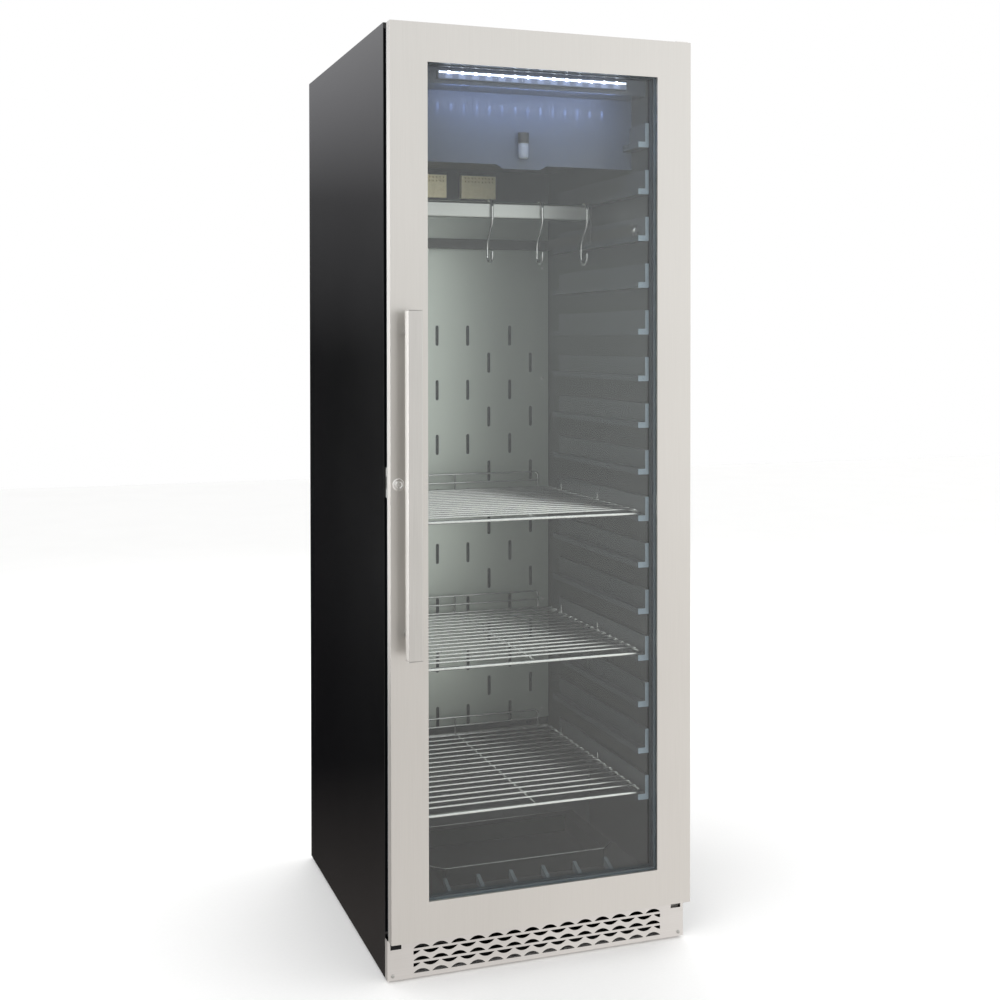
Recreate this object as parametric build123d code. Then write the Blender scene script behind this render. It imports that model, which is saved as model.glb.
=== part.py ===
from build123d import *
import math
import os

# Dry aging cabinet with a glass door. Millimetres, +Z up, front towards -Y.
# The origin is the middle of the base of the whole box, handle included.

# Whole cabinet
cabinet_width = 595.0
cabinet_height = 1740.0
body_depth = 650.0
panel_lift = 5.0
casing_sheet = 1.0
panel_return = 12.0
overrun = 2.0
seat_gap = 0.3
running_gap = 0.05

# Door
door_bottom_z = 82.0
door_top_gap = 5.0
door_thickness = 36.0
door_skin_return = 22.0
door_sheet = 1.0
door_border = 70.0
window_lip = 4.0
inner_frame_depth = 11.0
inner_frame_inset = 3.0
seal_gap = 10.0
glass_thickness = 4.0
glass_gap = 12.0
glass_bite = 12.0
glass_edge_gap = 1.0
spacer_width = 10.0

# Door gasket
gasket_inset = 25.5
gasket_width = 16.0
gasket_rib_width = 6.0
gasket_rib_depth = 5.0

# Handle
handle_reach = 55.0
handle_bar_depth = 25.0
handle_bar_width = 26.0
handle_length = 620.0
handle_rise = 518.0
handle_inset = 31.5
handle_wall = 1.5
handle_post_diameter = 14.0
handle_post_inset = 40.0
handle_screw_diameter = 6.0
handle_screw_head_diameter = 10.0
handle_screw_head_height = 5.0
handle_screw_web = 7.0
handle_screw_grip = 20.0

# Lock
lock_inset = 14.3
lock_drop = 1.5
lock_rosette_diameter = 21.5
lock_rosette_height = 1.6
lock_barrel_diameter = 18.0
lock_plug_diameter = 11.0
lock_plug_lead = 0.6
lock_barrel_tail = 1.0
lock_cam_standoff = 2.5
lock_cam_thickness = 2.0
lock_cam_reach = 13.0
lock_cam_width = 6.0
lock_cam_hub_diameter = 14.0
keyway_width = 2.0
keyway_height = 6.5
keyway_depth = 8.0
keeper_height = 54.0
keeper_thickness = 1.6
keeper_offset = 9.7
keeper_foot = 9.0
keeper_slot_height = 22.0
keeper_slot_margin = 1.4

# Hinges
hinge_inset = 15.5
hinge_setback = 18.0
hinge_plate_thickness = 2.5
hinge_plate_margin = 12.0
hinge_leg_thickness = 3.0
hinge_leg_length = 45.0
hinge_leg_inset = 3.5
hinge_leg_width = 18.0
hinge_pin_diameter = 8.0
hinge_bush_diameter = 14.0
hinge_bush_length = 15.0

# Front frame, liner and insulation
front_frame_depth = 12.0
side_wall_thickness = 63.5
liner_sheet = 3.0
ceiling_drop = 60.0
floor_rise = 49.0
rear_wall_thickness = 110.0
step_depth = 241.0
step_height = 131.0
machine_wall = 50.0
base_z = 14.0
base_sheet = 2.0
base_upstand = 14.0

# Sill gussets
gusset_side_margin = 34.0
gusset_pitch = 66.0
gusset_thickness = 6.0
gusset_length = 46.0
gusset_height = 18.0

# Shelf runners
runner_pitch = 90.5
runner_rise = 10.0
runner_setback = 7.0
runner_rear_gap = 73.0
runner_height = 47.0
runner_flange = 7.0
runner_reach = 22.0
runner_ledge = 11.0
top_runner_gap = 5.0

# Wire shelves
shelf_runner_numbers = {"shelf_lower": 0, "shelf_middle": 3, "shelf_upper": 6}
shelf_frame_diameter = 7.0
shelf_wire_diameter = 4.5
shelf_wire_pitch = 30.0
shelf_weld_sink = 0.6
shelf_side_gap = 1.5
shelf_front_setback = 10.0
shelf_rear_gap = 15.0
shelf_corner_radius = 14.0
shelf_guard_height = 38.0
shelf_guard_inset = 10.0
shelf_stop_height = 18.0
shelf_stop_shares = (0.43, 0.83)

# Hanging rack
rack_runners_from_top = 2
rack_bar_height = 22.0
rack_bar_width = 10.0
rack_side_gap = 3.0
rack_front_setback = 39.0
rack_rear_gap = 16.0
rack_knob_diameter = 12.0
rack_knob_length = 8.0
rail_setback = 254.0
rail_height = 32.0
rail_thickness = 20.0
rail_wall = 1.5
rail_corner = 4.0
rail_rise = 24.0
bracket_thickness = 4.0
bracket_width = 26.0

# Meat hooks
hook_wire_diameter = 5.0
hook_bend_radius = 16.0
hook_length = 133.0
hook_top_clearance = 2.4
hook_back_leg = 29.0
hook_front_leg = 45.0
hook_lower_leg = 42.0
hook_tip_rise = 23.0
hook_sweep_radius = 24.0
hook_place_shares = {"hook_left": -0.03, "hook_middle": 0.49, "hook_right": 0.965}

# Salt tray
tray_width = 384.0
tray_setback = 60.0
tray_depth = 232.0
tray_height = 35.0
tray_wall = 1.5
tray_rim = 28.0
tray_rim_sheet = 2.0

# Rear air panel
air_panel_sheet = 1.2
air_panel_side_gap = 4.4
air_panel_rise = 41.0
duct_depth = 10.0
duct_cover_height = 68.0
air_slot_height = 45.5
air_slot_width = 7.4
air_slot_rise = 21.8
air_slot_pitch = 121.7
air_slot_blank = 280.0
air_column_start = 35.8
air_column_pitch = 50.1
air_column_margin = 25.0
panel_screw_inset = 14.6
panel_screw_rise = 20.0
panel_screw_pitch = 252.0
screw_head_diameter = 7.0
screw_head_height = 2.0
screw_shank_diameter = 3.5

# Carbon filters
filter_width = 80.0
filter_height = 50.0
filter_depth = 14.0
filter_spacing = 115.0
filter_drop = 13.0
filter_hole_diameter = 5.0
filter_hole_pitch = 8.0
filter_hole_rows = 2
filter_hole_columns = 9
filter_hole_depth = 6.0
filter_hole_drop = 10.0

# Fascia, light and probe
fascia_setback = 84.0
fascia_sheet = 2.0
fascia_height = 136.0
fascia_side_gap = 0.3
fascia_tongue_top = 104.0
fascia_tongue_bottom = 76.0
fascia_tongue_drop = 8.0
canopy_drop = 40.0
light_side_gap = 44.0
light_height = 16.0
light_depth = 8.0
light_wall = 1.5
light_rise = 8.0
probe_holder_diameter = 21.0
probe_holder_height = 20.0
probe_holder_web = 12.0
probe_diameter = 19.0
probe_length = 30.0
probe_rise = 11.0

# Evaporator unit
drip_tray_drop = 94.0
drip_tray_sheet = 3.0
drip_tray_rim = 12.0
evaporator_half_width = 150.0
evaporator_setback = 124.0
evaporator_depth = 90.0
evaporator_height = 90.0
evaporator_lift = 22.0
evaporator_fin_count = 36
coil_fin_sheet = 0.8
coil_end_plate = 2.0
coil_tube_diameter = 9.5
coil_tube_rows = 3
evaporator_fan_setback = 256.0
evaporator_fan_size = 112.0
fan_frame_depth = 25.0
fan_wall = 3.0
fan_motor_share = 0.36
fan_motor_depth = 8.0
fan_spoke_count = 3
fan_spoke_width = 6.0
fan_spoke_depth = 5.0
fan_shaft_diameter = 5.0
fan_tip_gap = 2.0
fan_blade_count = 7
fan_blade_sheet = 1.6
fan_blade_pitch = 32.0
fan_hub_depth = 14.0

# Compressor and condenser
compressor_inset_x = 167.5
compressor_inset_y = 130.0
compressor_radius = 76.0
compressor_height = 150.0
compressor_dome = 40.0
compressor_plate = 4.0
compressor_foot_radius = 10.0
compressor_foot_height = 12.0
condenser_inset_x = 47.5
condenser_inset_y = 270.0
condenser_width = 210.0
condenser_depth = 50.0
condenser_height = 160.0
condenser_fin_count = 30
condenser_fan_gap = 12.0
condenser_fan_size = 150.0
pipe_diameter = 8.0
pipe_bend_radius = 12.0
pipe_channel_margin = 8.0
riser_inset_x = 127.5
riser_inset_y = 31.0
suction_rise = 104.0
discharge_rise = 114.0
discharge_gap = 30.0
control_box_inset_x = 17.5
control_box_inset_y = 82.0
control_box_width = 130.0
control_box_depth = 140.0
control_box_height = 50.0
inlet_inset_x = 97.5
inlet_rise = 59.0
inlet_width = 48.0
inlet_height = 28.0
inlet_depth = 20.0
inlet_wall = 5.0
machine_vent_pitch = 16.0
machine_vent_length = 150.0
machine_vent_height = 6.0
machine_vent_spacing = 220.0
machine_vent_rise = 34.0
machine_vent_margin = 25.0

# Kickplate
kick_forward = 16.0
kick_sheet = 1.2
kick_top_gap = 3.5
kick_side_border = 45.0
kick_slot_pitch = 35.8
kick_slot_length = 31.0
kick_slot_height = 7.0
kick_row_pitch = 11.3
kick_row_rise = 11.5
kick_row_margin = 4.5
kick_screw_inset = 10.5
kick_screw_rise = 8.0
kick_side_gap = 0.3
kick_notch_inset = 6.0
kick_notch_width = 20.5
kick_notch_depth = 17.5
plug_lead = 1.5
plug_gap = 0.2

# Levelling feet
foot_pad_diameter = 40.0
foot_pad_height = 8.0
foot_stud_diameter = 10.0
foot_stud_length = 36.0
foot_sleeve_diameter = 18.0
foot_sleeve_height = 22.0
foot_inset_x = 42.5
foot_inset_y = 55.0

# Planes that the sizes give
half_width = cabinet_width / 2
overall_depth = body_depth + seal_gap + door_thickness + handle_reach
back_y = overall_depth / 2
front_y = back_y - body_depth
door_back_y = front_y - seal_gap
door_front_y = door_back_y - door_thickness
door_top_z = cabinet_height - door_top_gap
window_half_width = half_width - door_border
window_bottom_z = door_bottom_z + door_border
window_top_z = door_top_z - door_border
glass_front_y = door_front_y + door_sheet + window_lip
core_back_y = door_back_y - inner_frame_depth
liner_half_width = half_width - side_wall_thickness
liner_back_y = back_y - rear_wall_thickness
ceiling_z = cabinet_height - ceiling_drop
floor_z = door_bottom_z + floor_rise
step_y = liner_back_y - step_depth
step_top_z = floor_z + step_height
machine_top_z = step_top_z - liner_sheet - machine_wall
machine_front_y = step_y + liner_sheet + machine_wall
base_top_z = base_z + base_sheet
return_edge_x = half_width - panel_return
foam_back_y = back_y - casing_sheet
hinge_x = half_width - hinge_inset
hinge_y = door_front_y + hinge_setback
lock_x = -half_width + lock_inset
handle_x = -half_width + handle_inset
handle_bottom_z = door_bottom_z + handle_rise
lock_z = handle_bottom_z + handle_length / 2 - lock_drop
handle_back_y = door_front_y - handle_reach + handle_bar_depth
runner_tip_x = liner_half_width - runner_reach
fascia_y = front_y + fascia_setback
canopy_y = front_y + front_frame_depth + light_depth
canopy_z = ceiling_z - canopy_drop
fascia_bottom_z = canopy_z - fascia_height
drip_tray_z = canopy_z - drip_tray_drop
drip_floor_z = drip_tray_z + drip_tray_sheet
light_half_length = liner_half_width - light_side_gap
probe_bottom_z = fascia_bottom_z + probe_rise
air_panel_y = liner_back_y - duct_depth
air_panel_bottom_z = step_top_z + air_panel_rise
air_panel_top_z = drip_tray_z - duct_cover_height
air_panel_half_width = liner_half_width - air_panel_side_gap
filter_top_z = drip_tray_z - filter_drop
runner_lowest_z = step_top_z + runner_rise
full_runner_count = int((fascia_bottom_z - runner_height - runner_lowest_z) / runner_pitch) + 1
rack_runner_number = full_runner_count - rack_runners_from_top
kick_front_y = front_y - kick_forward
kick_top_z = door_bottom_z - kick_top_gap
compressor_x = -half_width + compressor_inset_x
compressor_y = back_y - compressor_inset_y
condenser_x = (half_width - condenser_inset_x - condenser_width, half_width - condenser_inset_x)
condenser_y = (back_y - condenser_inset_y, back_y - condenser_inset_y + condenser_depth)
riser_x = -half_width + riser_inset_x
riser_y = back_y - riser_inset_y
suction_z = drip_floor_z + evaporator_lift + evaporator_height / coil_tube_rows
inlet_x = half_width - inlet_inset_x
inlet_z = base_top_z + inlet_rise


def block(x, y, z):
    """A box between the low and high values of x, y and z."""
    spans = (x, y, z)
    middle = Pos(*[(low + high) / 2 for low, high in spans])
    return middle * Box(*[high - low for low, high in spans])


def both(reach):
    """The span from minus reach to reach."""
    return (-reach, reach)


def about(middle, width):
    """The span of a width about its middle."""
    return (middle - width / 2, middle + width / 2)


def copies(span, pitch):
    """How many copies at a pitch lie within a span, both ends counted."""
    return int((span[1] - span[0]) / pitch) + 1


def rod(start, end, diameter):
    """A straight round bar from one point to another."""
    line = Vector(*end) - Vector(*start)
    plane = Plane(origin=start, z_dir=line)
    return plane * Cylinder(diameter / 2, line.length, align=(Align.CENTER, Align.CENTER, Align.MIN))


def ring(outer_x, outer_z, inner_x, inner_z, y):
    """Left, right, lower and upper bar of a rectangular frame in the XZ plane."""
    return [
        block((-outer_x, -inner_x), y, outer_z),
        block((inner_x, outer_x), y, outer_z),
        block(both(inner_x), y, (outer_z[0], inner_z[0])),
        block(both(inner_x), y, (inner_z[1], outer_z[1])),
    ]


def each_cut(solids, cuts):
    """Each solid with all of the cuts taken out of it."""
    return [solid - cuts for solid in solids]


def tube_along(points, diameter, radius):
    """A round bar that follows rounded corners through the points."""
    path = FilletPolyline(*points, radius=radius)
    start = path @ 0
    section = Plane(origin=start, z_dir=path % 0) * Circle(diameter / 2)
    return sweep(section, path=path)


def save(name, *solids):
    """Write one sub-part, with each of its solids kept apart."""
    pieces = []
    for item in solids:
        pieces.extend(item.solids())
    shape = pieces[0] if len(pieces) == 1 else Compound(children=pieces)
    shape.label = name
    export_step(shape, os.path.join("parts", name + ".step"))


def side_panel(side):
    """Outer side sheet with its folded front and rear edges."""
    def span(low, high):
        return (low, high) if side > 0 else (-high, -low)
    z = (panel_lift, cabinet_height)
    sheet = block(span(half_width - casing_sheet, half_width), (front_y, back_y), z)
    fold = span(return_edge_x, half_width)
    front_fold = block(fold, (front_y, front_y + casing_sheet), z)
    rear_fold = block(fold, (back_y - casing_sheet, back_y), z)
    return sheet + front_fold + rear_fold


def top_panel():
    """Top sheet with a front edge folded down."""
    y = (front_y + casing_sheet, back_y - casing_sheet)
    sheet = block(both(half_width - casing_sheet), y, (cabinet_height - casing_sheet, cabinet_height))
    fold_z = (cabinet_height - panel_return, cabinet_height)
    return sheet + block(both(return_edge_x), (front_y, front_y + casing_sheet), fold_z)


def rear_panels():
    """Upper back sheet, and the vented cover of the machine bay."""
    y = (back_y - casing_sheet, back_y)
    upper = block(both(return_edge_x), y, (machine_top_z, cabinet_height - casing_sheet))
    lower = block(both(return_edge_x), y, (base_top_z, machine_top_z - seat_gap))
    hole_y = (y[0] - overrun, y[1] + overrun)
    lowest = base_top_z + machine_vent_rise
    for number in range(copies((lowest, machine_top_z - machine_vent_margin), machine_vent_pitch)):
        z = lowest + number * machine_vent_pitch
        for x in both(machine_vent_spacing / 2):
            if x < 0 or z > inlet_z + inlet_height:
                lower -= block(about(x, machine_vent_length), hole_y, (z, z + machine_vent_height))
    return upper, lower - block(about(inlet_x, inlet_width), hole_y, about(inlet_z, inlet_height))


def foot_places():
    """Name and X, Y of each levelling foot."""
    x = half_width - foot_inset_x
    front = front_y + foot_inset_y
    rear = back_y - foot_inset_y
    return {
        "foot_front_left": (-x, front),
        "foot_front_right": (x, front),
        "foot_rear_left": (-x, rear),
        "foot_rear_right": (x, rear),
    }


def base_pan():
    """Bottom sheet with a front upstand and a threaded sleeve for each foot."""
    y = (front_y + casing_sheet, back_y - casing_sheet)
    pan = block(both(half_width - casing_sheet), y, (base_z, base_top_z))
    upstand_y = (y[0], y[0] + base_sheet)
    pan += block(both(return_edge_x), upstand_y, (base_top_z, base_top_z + base_upstand))
    for x, foot_y in foot_places().values():
        top = base_top_z + foot_sleeve_height
        pan += rod((x, foot_y, base_z), (x, foot_y, top), foot_sleeve_diameter)
        bore = foot_stud_diameter + 2 * running_gap
        pan -= rod((x, foot_y, base_z - overrun), (x, foot_y, top + overrun), bore)
    return pan


def levelling_foot(x, y):
    """Round pad with its threaded stud."""
    pad = rod((x, y, 0), (x, y, foot_pad_height), foot_pad_diameter)
    stud_top = foot_pad_height + foot_stud_length
    return pad + rod((x, y, 0), (x, y, stud_top), foot_stud_diameter)


def liner_solids():
    """Side walls, ceiling and rear wall of the chamber."""
    y = (front_y + front_frame_depth, liner_back_y + liner_sheet)
    wall_x = (liner_half_width, liner_half_width + liner_sheet)
    front_z = (floor_z, ceiling_z)
    walls = []
    for x in (wall_x, (-wall_x[1], -wall_x[0])):
        wall = block(x, y, front_z)
        under_step_y = (step_y + liner_sheet, y[1] + overrun)
        walls.append(wall - block(x, under_step_y, (floor_z - overrun, step_top_z - liner_sheet)))
    ceiling = block(both(wall_x[1]), y, (ceiling_z, ceiling_z + liner_sheet))
    rear_z = (step_top_z - liner_sheet, ceiling_z)
    rear = block(both(liner_half_width), (liner_back_y, liner_back_y + liner_sheet), rear_z)
    rear -= pipe_hole()
    return walls + [ceiling, rear]


def pipe_hole():
    """Bore through the liner's rear wall for the suction pipe."""
    y = (liner_back_y - overrun, liner_back_y + liner_sheet + overrun)
    bore = pipe_diameter + 2 * seat_gap
    return rod((riser_x, y[0], suction_z), (riser_x, y[1], suction_z), bore)


def liner_floor():
    """Chamber floor, and the triangular gussets behind its sill."""
    y = (front_y + front_frame_depth, step_y + liner_sheet)
    floor = block(both(liner_half_width + liner_sheet), y, (floor_z - liner_sheet, floor_z))
    low_y = y[0] + seat_gap
    high_y = low_y + gusset_length
    side_view = Polyline((low_y, floor_z), (high_y, floor_z), (high_y, floor_z + gusset_height), close=True)
    outline = Plane.YZ * make_face(side_view)
    gusset = extrude(outline, gusset_thickness, dir=(1, 0, 0))
    count = int((liner_half_width - gusset_side_margin) * 2 / gusset_pitch)
    first = (gusset_pitch - gusset_thickness - count * gusset_pitch) / 2
    return [floor] + [Pos(first + number * gusset_pitch, 0, 0) * gusset for number in range(count)]


def liner_step():
    """Riser and top of the step over the compressor."""
    x = both(liner_half_width)
    riser = block(x, (step_y, step_y + liner_sheet), (floor_z, step_top_z - liner_sheet))
    tread = block(x, (step_y, liner_back_y), (step_top_z - liner_sheet, step_top_z))
    return riser, tread


def insulation_foam():
    """Foamed body between the casing and the liner."""
    y = (front_y + front_frame_depth, foam_back_y)
    outer_x = half_width - casing_sheet
    foam = block(both(outer_x), y, (door_bottom_z, cabinet_height - casing_sheet))
    liner_x = both(liner_half_width + liner_sheet)
    chamber_y = (y[0] - overrun, liner_back_y + liner_sheet)
    foam -= block(liner_x, chamber_y, (step_top_z - liner_sheet, ceiling_z + liner_sheet))
    well_y = (chamber_y[0], step_y + liner_sheet)
    foam -= block(liner_x, well_y, (floor_z - liner_sheet, step_top_z))
    foam -= block(both(half_width), (machine_front_y, back_y), (door_bottom_z - overrun, machine_top_z))
    margin = pipe_diameter / 2 + pipe_channel_margin
    channel_x = about(riser_x, 2 * margin)
    foam -= block(channel_x, about(riser_y, 2 * margin), (machine_top_z - overrun, suction_z + margin))
    foam -= block(channel_x, (liner_back_y, riser_y), about(suction_z, 2 * margin))
    return foam


def front_frame():
    """Four plastic strips round the mouth of the chamber, which the gasket meets."""
    outer_z = (door_bottom_z, cabinet_height - panel_return)
    y = (front_y, front_y + front_frame_depth)
    return ring(return_edge_x, outer_z, liner_half_width, (floor_z, ceiling_z), y)


def runner_z(number):
    """Underside of a shelf runner, counted from the lowest."""
    return runner_lowest_z + number * runner_pitch


def shelf_runners():
    """L-shaped runners on both walls."""
    runners = []
    start_y = front_y + runner_setback
    inner_flange_x = liner_half_width - runner_flange
    full_length = air_panel_y - runner_rear_gap - start_y
    top_length = fascia_y - top_runner_gap - start_y
    for number in range(full_runner_count + 1):
        z = runner_z(number)
        length = full_length if number < full_runner_count else top_length
        outline = Polyline(
            (liner_half_width, z),
            (runner_tip_x, z),
            (runner_tip_x, z + runner_ledge),
            (inner_flange_x, z + runner_ledge),
            (inner_flange_x, z + runner_height),
            (liner_half_width, z + runner_height),
            close=True,
        )
        profile = Plane.XZ * make_face(outline)
        right = Pos(0, start_y, 0) * extrude(profile, length, dir=(0, 1, 0))
        runners.append(right)
        runners.append(mirror(right, about=Plane.YZ))
    return runners


def wire_shelf(number):
    """Welded wire shelf: a deck of wires, a rear guard and four side stops."""
    frame_z = runner_z(number) + runner_ledge + seat_gap + shelf_frame_diameter / 2
    half = liner_half_width - runner_flange - shelf_side_gap - shelf_frame_diameter / 2
    y_front = front_y + shelf_front_setback
    y_rear = air_panel_y - shelf_rear_gap
    outline = RectangleRounded(2 * half, y_rear - y_front, shelf_corner_radius)
    loop = (Pos(0, (y_front + y_rear) / 2, frame_z) * outline).face().outer_wire()
    section = Plane(origin=loop @ 0, z_dir=loop % 0) * Circle(shelf_frame_diameter / 2)
    deck = sweep(section, path=loop)
    wire_z = frame_z + (shelf_frame_diameter + shelf_wire_diameter) / 2 - shelf_weld_sink
    first_y = y_front + shelf_wire_pitch
    for step in range(copies((first_y, y_rear - shelf_corner_radius), shelf_wire_pitch)):
        y = first_y + step * shelf_wire_pitch
        deck += rod((-half, y, wire_z), (half, y, wire_z), shelf_wire_diameter)
    support_z = wire_z - shelf_wire_diameter + shelf_weld_sink
    deck += rod((0, y_front, support_z), (0, y_rear, support_z), shelf_wire_diameter)
    guard_x = half - shelf_guard_inset - shelf_corner_radius
    guard_z = frame_z + shelf_guard_height
    route = [
        (-guard_x, y_rear, frame_z),
        (-guard_x, y_rear, guard_z),
        (guard_x, y_rear, guard_z),
        (guard_x, y_rear, frame_z),
    ]
    guard = tube_along(route, shelf_wire_diameter, shelf_guard_inset)
    middle_z = (frame_z + guard_z) / 2
    guard += rod((-guard_x, y_rear, middle_z), (guard_x, y_rear, middle_z), shelf_wire_diameter)
    guard += rod((0, y_rear, frame_z), (0, y_rear, guard_z), shelf_wire_diameter)
    stops = []
    for share in shelf_stop_shares:
        for x in both(half):
            y = y_front + share * (y_rear - y_front)
            stops.append(rod((x, y, frame_z), (x, y, frame_z + shelf_stop_height), shelf_wire_diameter))
    return [deck] + each_cut([guard] + stops, deck)


def rack_arm_x():
    """Inner and outer X of a rack arm, which lies on a runner's ledge."""
    outer = liner_half_width - runner_flange - rack_side_gap
    return outer - rack_bar_width, outer


def rack_base_z():
    """Underside of the rack's bars."""
    return runner_z(rack_runner_number) + runner_ledge + seat_gap


def rail_half_length():
    """Half of the hanging rail's length, between the two uprights."""
    return rack_arm_x()[0] - bracket_thickness


def rack_frame():
    """Rear bar, two side arms and the two uprights that carry the rail."""
    inner_x, outer_x = rack_arm_x()
    low_z = rack_base_z()
    z = (low_z, low_z + rack_bar_height)
    y_front = front_y + rack_front_setback
    y_rear = air_panel_y - rack_rear_gap
    upright_z = (z[0], z[1] + rail_rise + rail_height - rail_corner)
    upright_y = about(front_y + rail_setback, bracket_width)
    arm = block((inner_x, outer_x), (y_front, y_rear), z)
    upright = block((inner_x - bracket_thickness, inner_x), upright_y, upright_z)
    rear_bar = block(both(inner_x), (y_rear - rack_bar_width, y_rear), z)
    return [rear_bar, arm, upright] + [mirror(piece, about=Plane.YZ) for piece in (arm, upright)]


def rack_knobs():
    """Round ends of the rack's arms."""
    inner_x, outer_x = rack_arm_x()
    x = (inner_x + outer_x) / 2
    z = rack_base_z() + rack_bar_height / 2
    y = front_y + rack_front_setback
    knobs = []
    for knob_x in both(x):
        knob = rod((knob_x, y - rack_knob_length, z), (knob_x, y, z), rack_knob_diameter)
        front_edge = knob.edges().sort_by(Axis.Y)[0]
        knobs.append(fillet(front_edge, rack_knob_length / 4))
    return knobs


def rail_bottom_z():
    """Underside of the hanging rail."""
    return rack_base_z() + rack_bar_height + rail_rise


def hanging_rail():
    """Hollow rail with rounded edges."""
    half = rail_half_length()
    outer = RectangleRounded(rail_thickness, rail_height, rail_corner)
    bore_size = (rail_thickness - 2 * rail_wall, rail_height - 2 * rail_wall)
    inner = RectangleRounded(*bore_size, rail_corner - rail_wall)
    middle = (-half, front_y + rail_setback, rail_bottom_z() + rail_height / 2)
    plane = Plane(origin=middle, x_dir=(0, 1, 0), z_dir=(1, 0, 0))
    return extrude(plane * (outer - inner), 2 * half)


def meat_hook(share):
    """S-shaped hook over the rail, its lower bend open to the front."""
    x = share * rail_half_length()
    y = front_y + rail_setback
    top = rail_bottom_z() + rail_height + hook_top_clearance + hook_wire_diameter / 2
    bottom = top + hook_wire_diameter - hook_length
    back = y + hook_bend_radius
    front = y - hook_bend_radius
    points = [
        (x, back, top - hook_back_leg),
        (x, back, top),
        (x, front, top),
        (x, front, top - hook_front_leg),
        (x, back, bottom + hook_lower_leg),
        (x, back, bottom),
        (x, front, bottom),
        (x, front, bottom + hook_tip_rise),
    ]
    bend = hook_bend_radius - running_gap
    radii = [bend, bend, hook_sweep_radius, hook_sweep_radius, bend, bend]
    return tube_along(points, hook_wire_diameter, radii)


def salt_tray():
    """Shallow pan with a flat rim, on the chamber floor."""
    y_front = front_y + tray_setback
    y = (y_front, y_front + tray_depth)
    z = (floor_z + seat_gap, floor_z + seat_gap + tray_height)
    pan_x = tray_width / 2 - tray_rim
    pan_y = (y[0] + tray_wall, y[1] - tray_rim)
    pan = block(both(pan_x), (y[0], y[1] - tray_rim + tray_wall), z)
    rim = block(both(tray_width / 2), y, (z[1] - tray_rim_sheet, z[1]))
    front_corners = rim.edges().filter_by(Axis.Z).group_by(Axis.Y)[0]
    pan += chamfer(front_corners, tray_rim)
    return pan - block(both(pan_x - tray_wall), pan_y, (z[0] + tray_wall, z[1] + overrun))


def air_slots():
    """Centres of the upright slots in the rear air panel."""
    places = []
    lowest = air_panel_bottom_z + air_slot_rise
    rows = copies((lowest, air_panel_top_z - air_slot_blank), air_slot_pitch)
    columns = copies((air_column_start, air_panel_half_width - air_column_margin), air_column_pitch)
    for column in range(columns):
        x = air_column_start + column * air_column_pitch
        shift = column % 2
        for row in range(rows - shift):
            z = lowest + (row + shift / 2) * air_slot_pitch
            places += [(x, z), (-x, z)]
    return places


def channel_sheet(z, holes):
    """Sheet in the rear duct plane, with side edges folded back to the liner."""
    width = 2 * air_panel_half_width
    face = Pos(0, (z[0] + z[1]) / 2) * Rectangle(width, z[1] - z[0])
    if holes:
        face -= [Pos(x, slot_z) * slot for x, slot_z, slot in holes]
    plane = Plane(origin=(0, air_panel_y, 0), x_dir=(1, 0, 0), z_dir=(0, -1, 0))
    sheet = extrude(plane * face, -air_panel_sheet)
    fold = (air_panel_half_width - air_panel_sheet, air_panel_half_width)
    for x in (fold, (-fold[1], -fold[0])):
        sheet += block(x, (air_panel_y, liner_back_y), z)
    return sheet


def rear_air_panel():
    """Steel air panel with two staggered sets of upright slots."""
    slot = SlotOverall(air_slot_height, air_slot_width, rotation=90)
    holes = [(x, z, slot) for x, z in air_slots()]
    screw_hole = Circle(screw_shank_diameter / 2)
    holes += [(x, z, screw_hole) for x, z in panel_screw_places()]
    return channel_sheet((air_panel_bottom_z, air_panel_top_z), holes)


def upper_duct_cover():
    """Black cover between the air panel and the drip tray."""
    return channel_sheet((air_panel_top_z + seat_gap, drip_tray_z - seat_gap), [])


def panel_screw_places():
    """X and Z of the screws along the air panel's two sides."""
    places = []
    x = air_panel_half_width - panel_screw_inset
    lowest = air_panel_bottom_z + panel_screw_rise
    for number in range(copies((lowest, air_panel_top_z), panel_screw_pitch)):
        z = lowest + number * panel_screw_pitch
        places += [(x, z), (-x, z)]
    return places


def panel_screw(x, y, z, length):
    """Pan-head screw whose head stands on the plane at y."""
    head = rod((x, y - screw_head_height, z), (x, y, z), screw_head_diameter)
    return head + rod((x, y - screw_head_height, z), (x, y + length, z), screw_shank_diameter)


def panel_screws():
    """Screws of the air panel and of the kickplate."""
    screws = [panel_screw(x, air_panel_y, z, duct_depth) for x, z in panel_screw_places()]
    for x, z in kick_screw_places():
        screws.append(panel_screw(x, kick_front_y, z, kick_forward))
    return screws


def carbon_filters():
    """Two filter cartridges with a perforated band along the top."""
    filters = []
    y = (air_panel_y - filter_depth, air_panel_y)
    z = (filter_top_z - filter_height, filter_top_z)
    grid_z = filter_top_z - filter_hole_drop
    front = Plane(origin=(0, y[0], 0), x_dir=(1, 0, 0), z_dir=(0, -1, 0))
    for x in both(filter_spacing / 2):
        body = block(about(x, filter_width), y, z)
        grid = GridLocations(filter_hole_pitch, filter_hole_pitch, filter_hole_columns, filter_hole_rows)
        holes = [front * Pos(x, grid_z) * place * Circle(filter_hole_diameter / 2) for place in grid]
        body -= [extrude(hole, -filter_hole_depth) for hole in holes]
        filters.append(body)
    return filters


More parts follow.
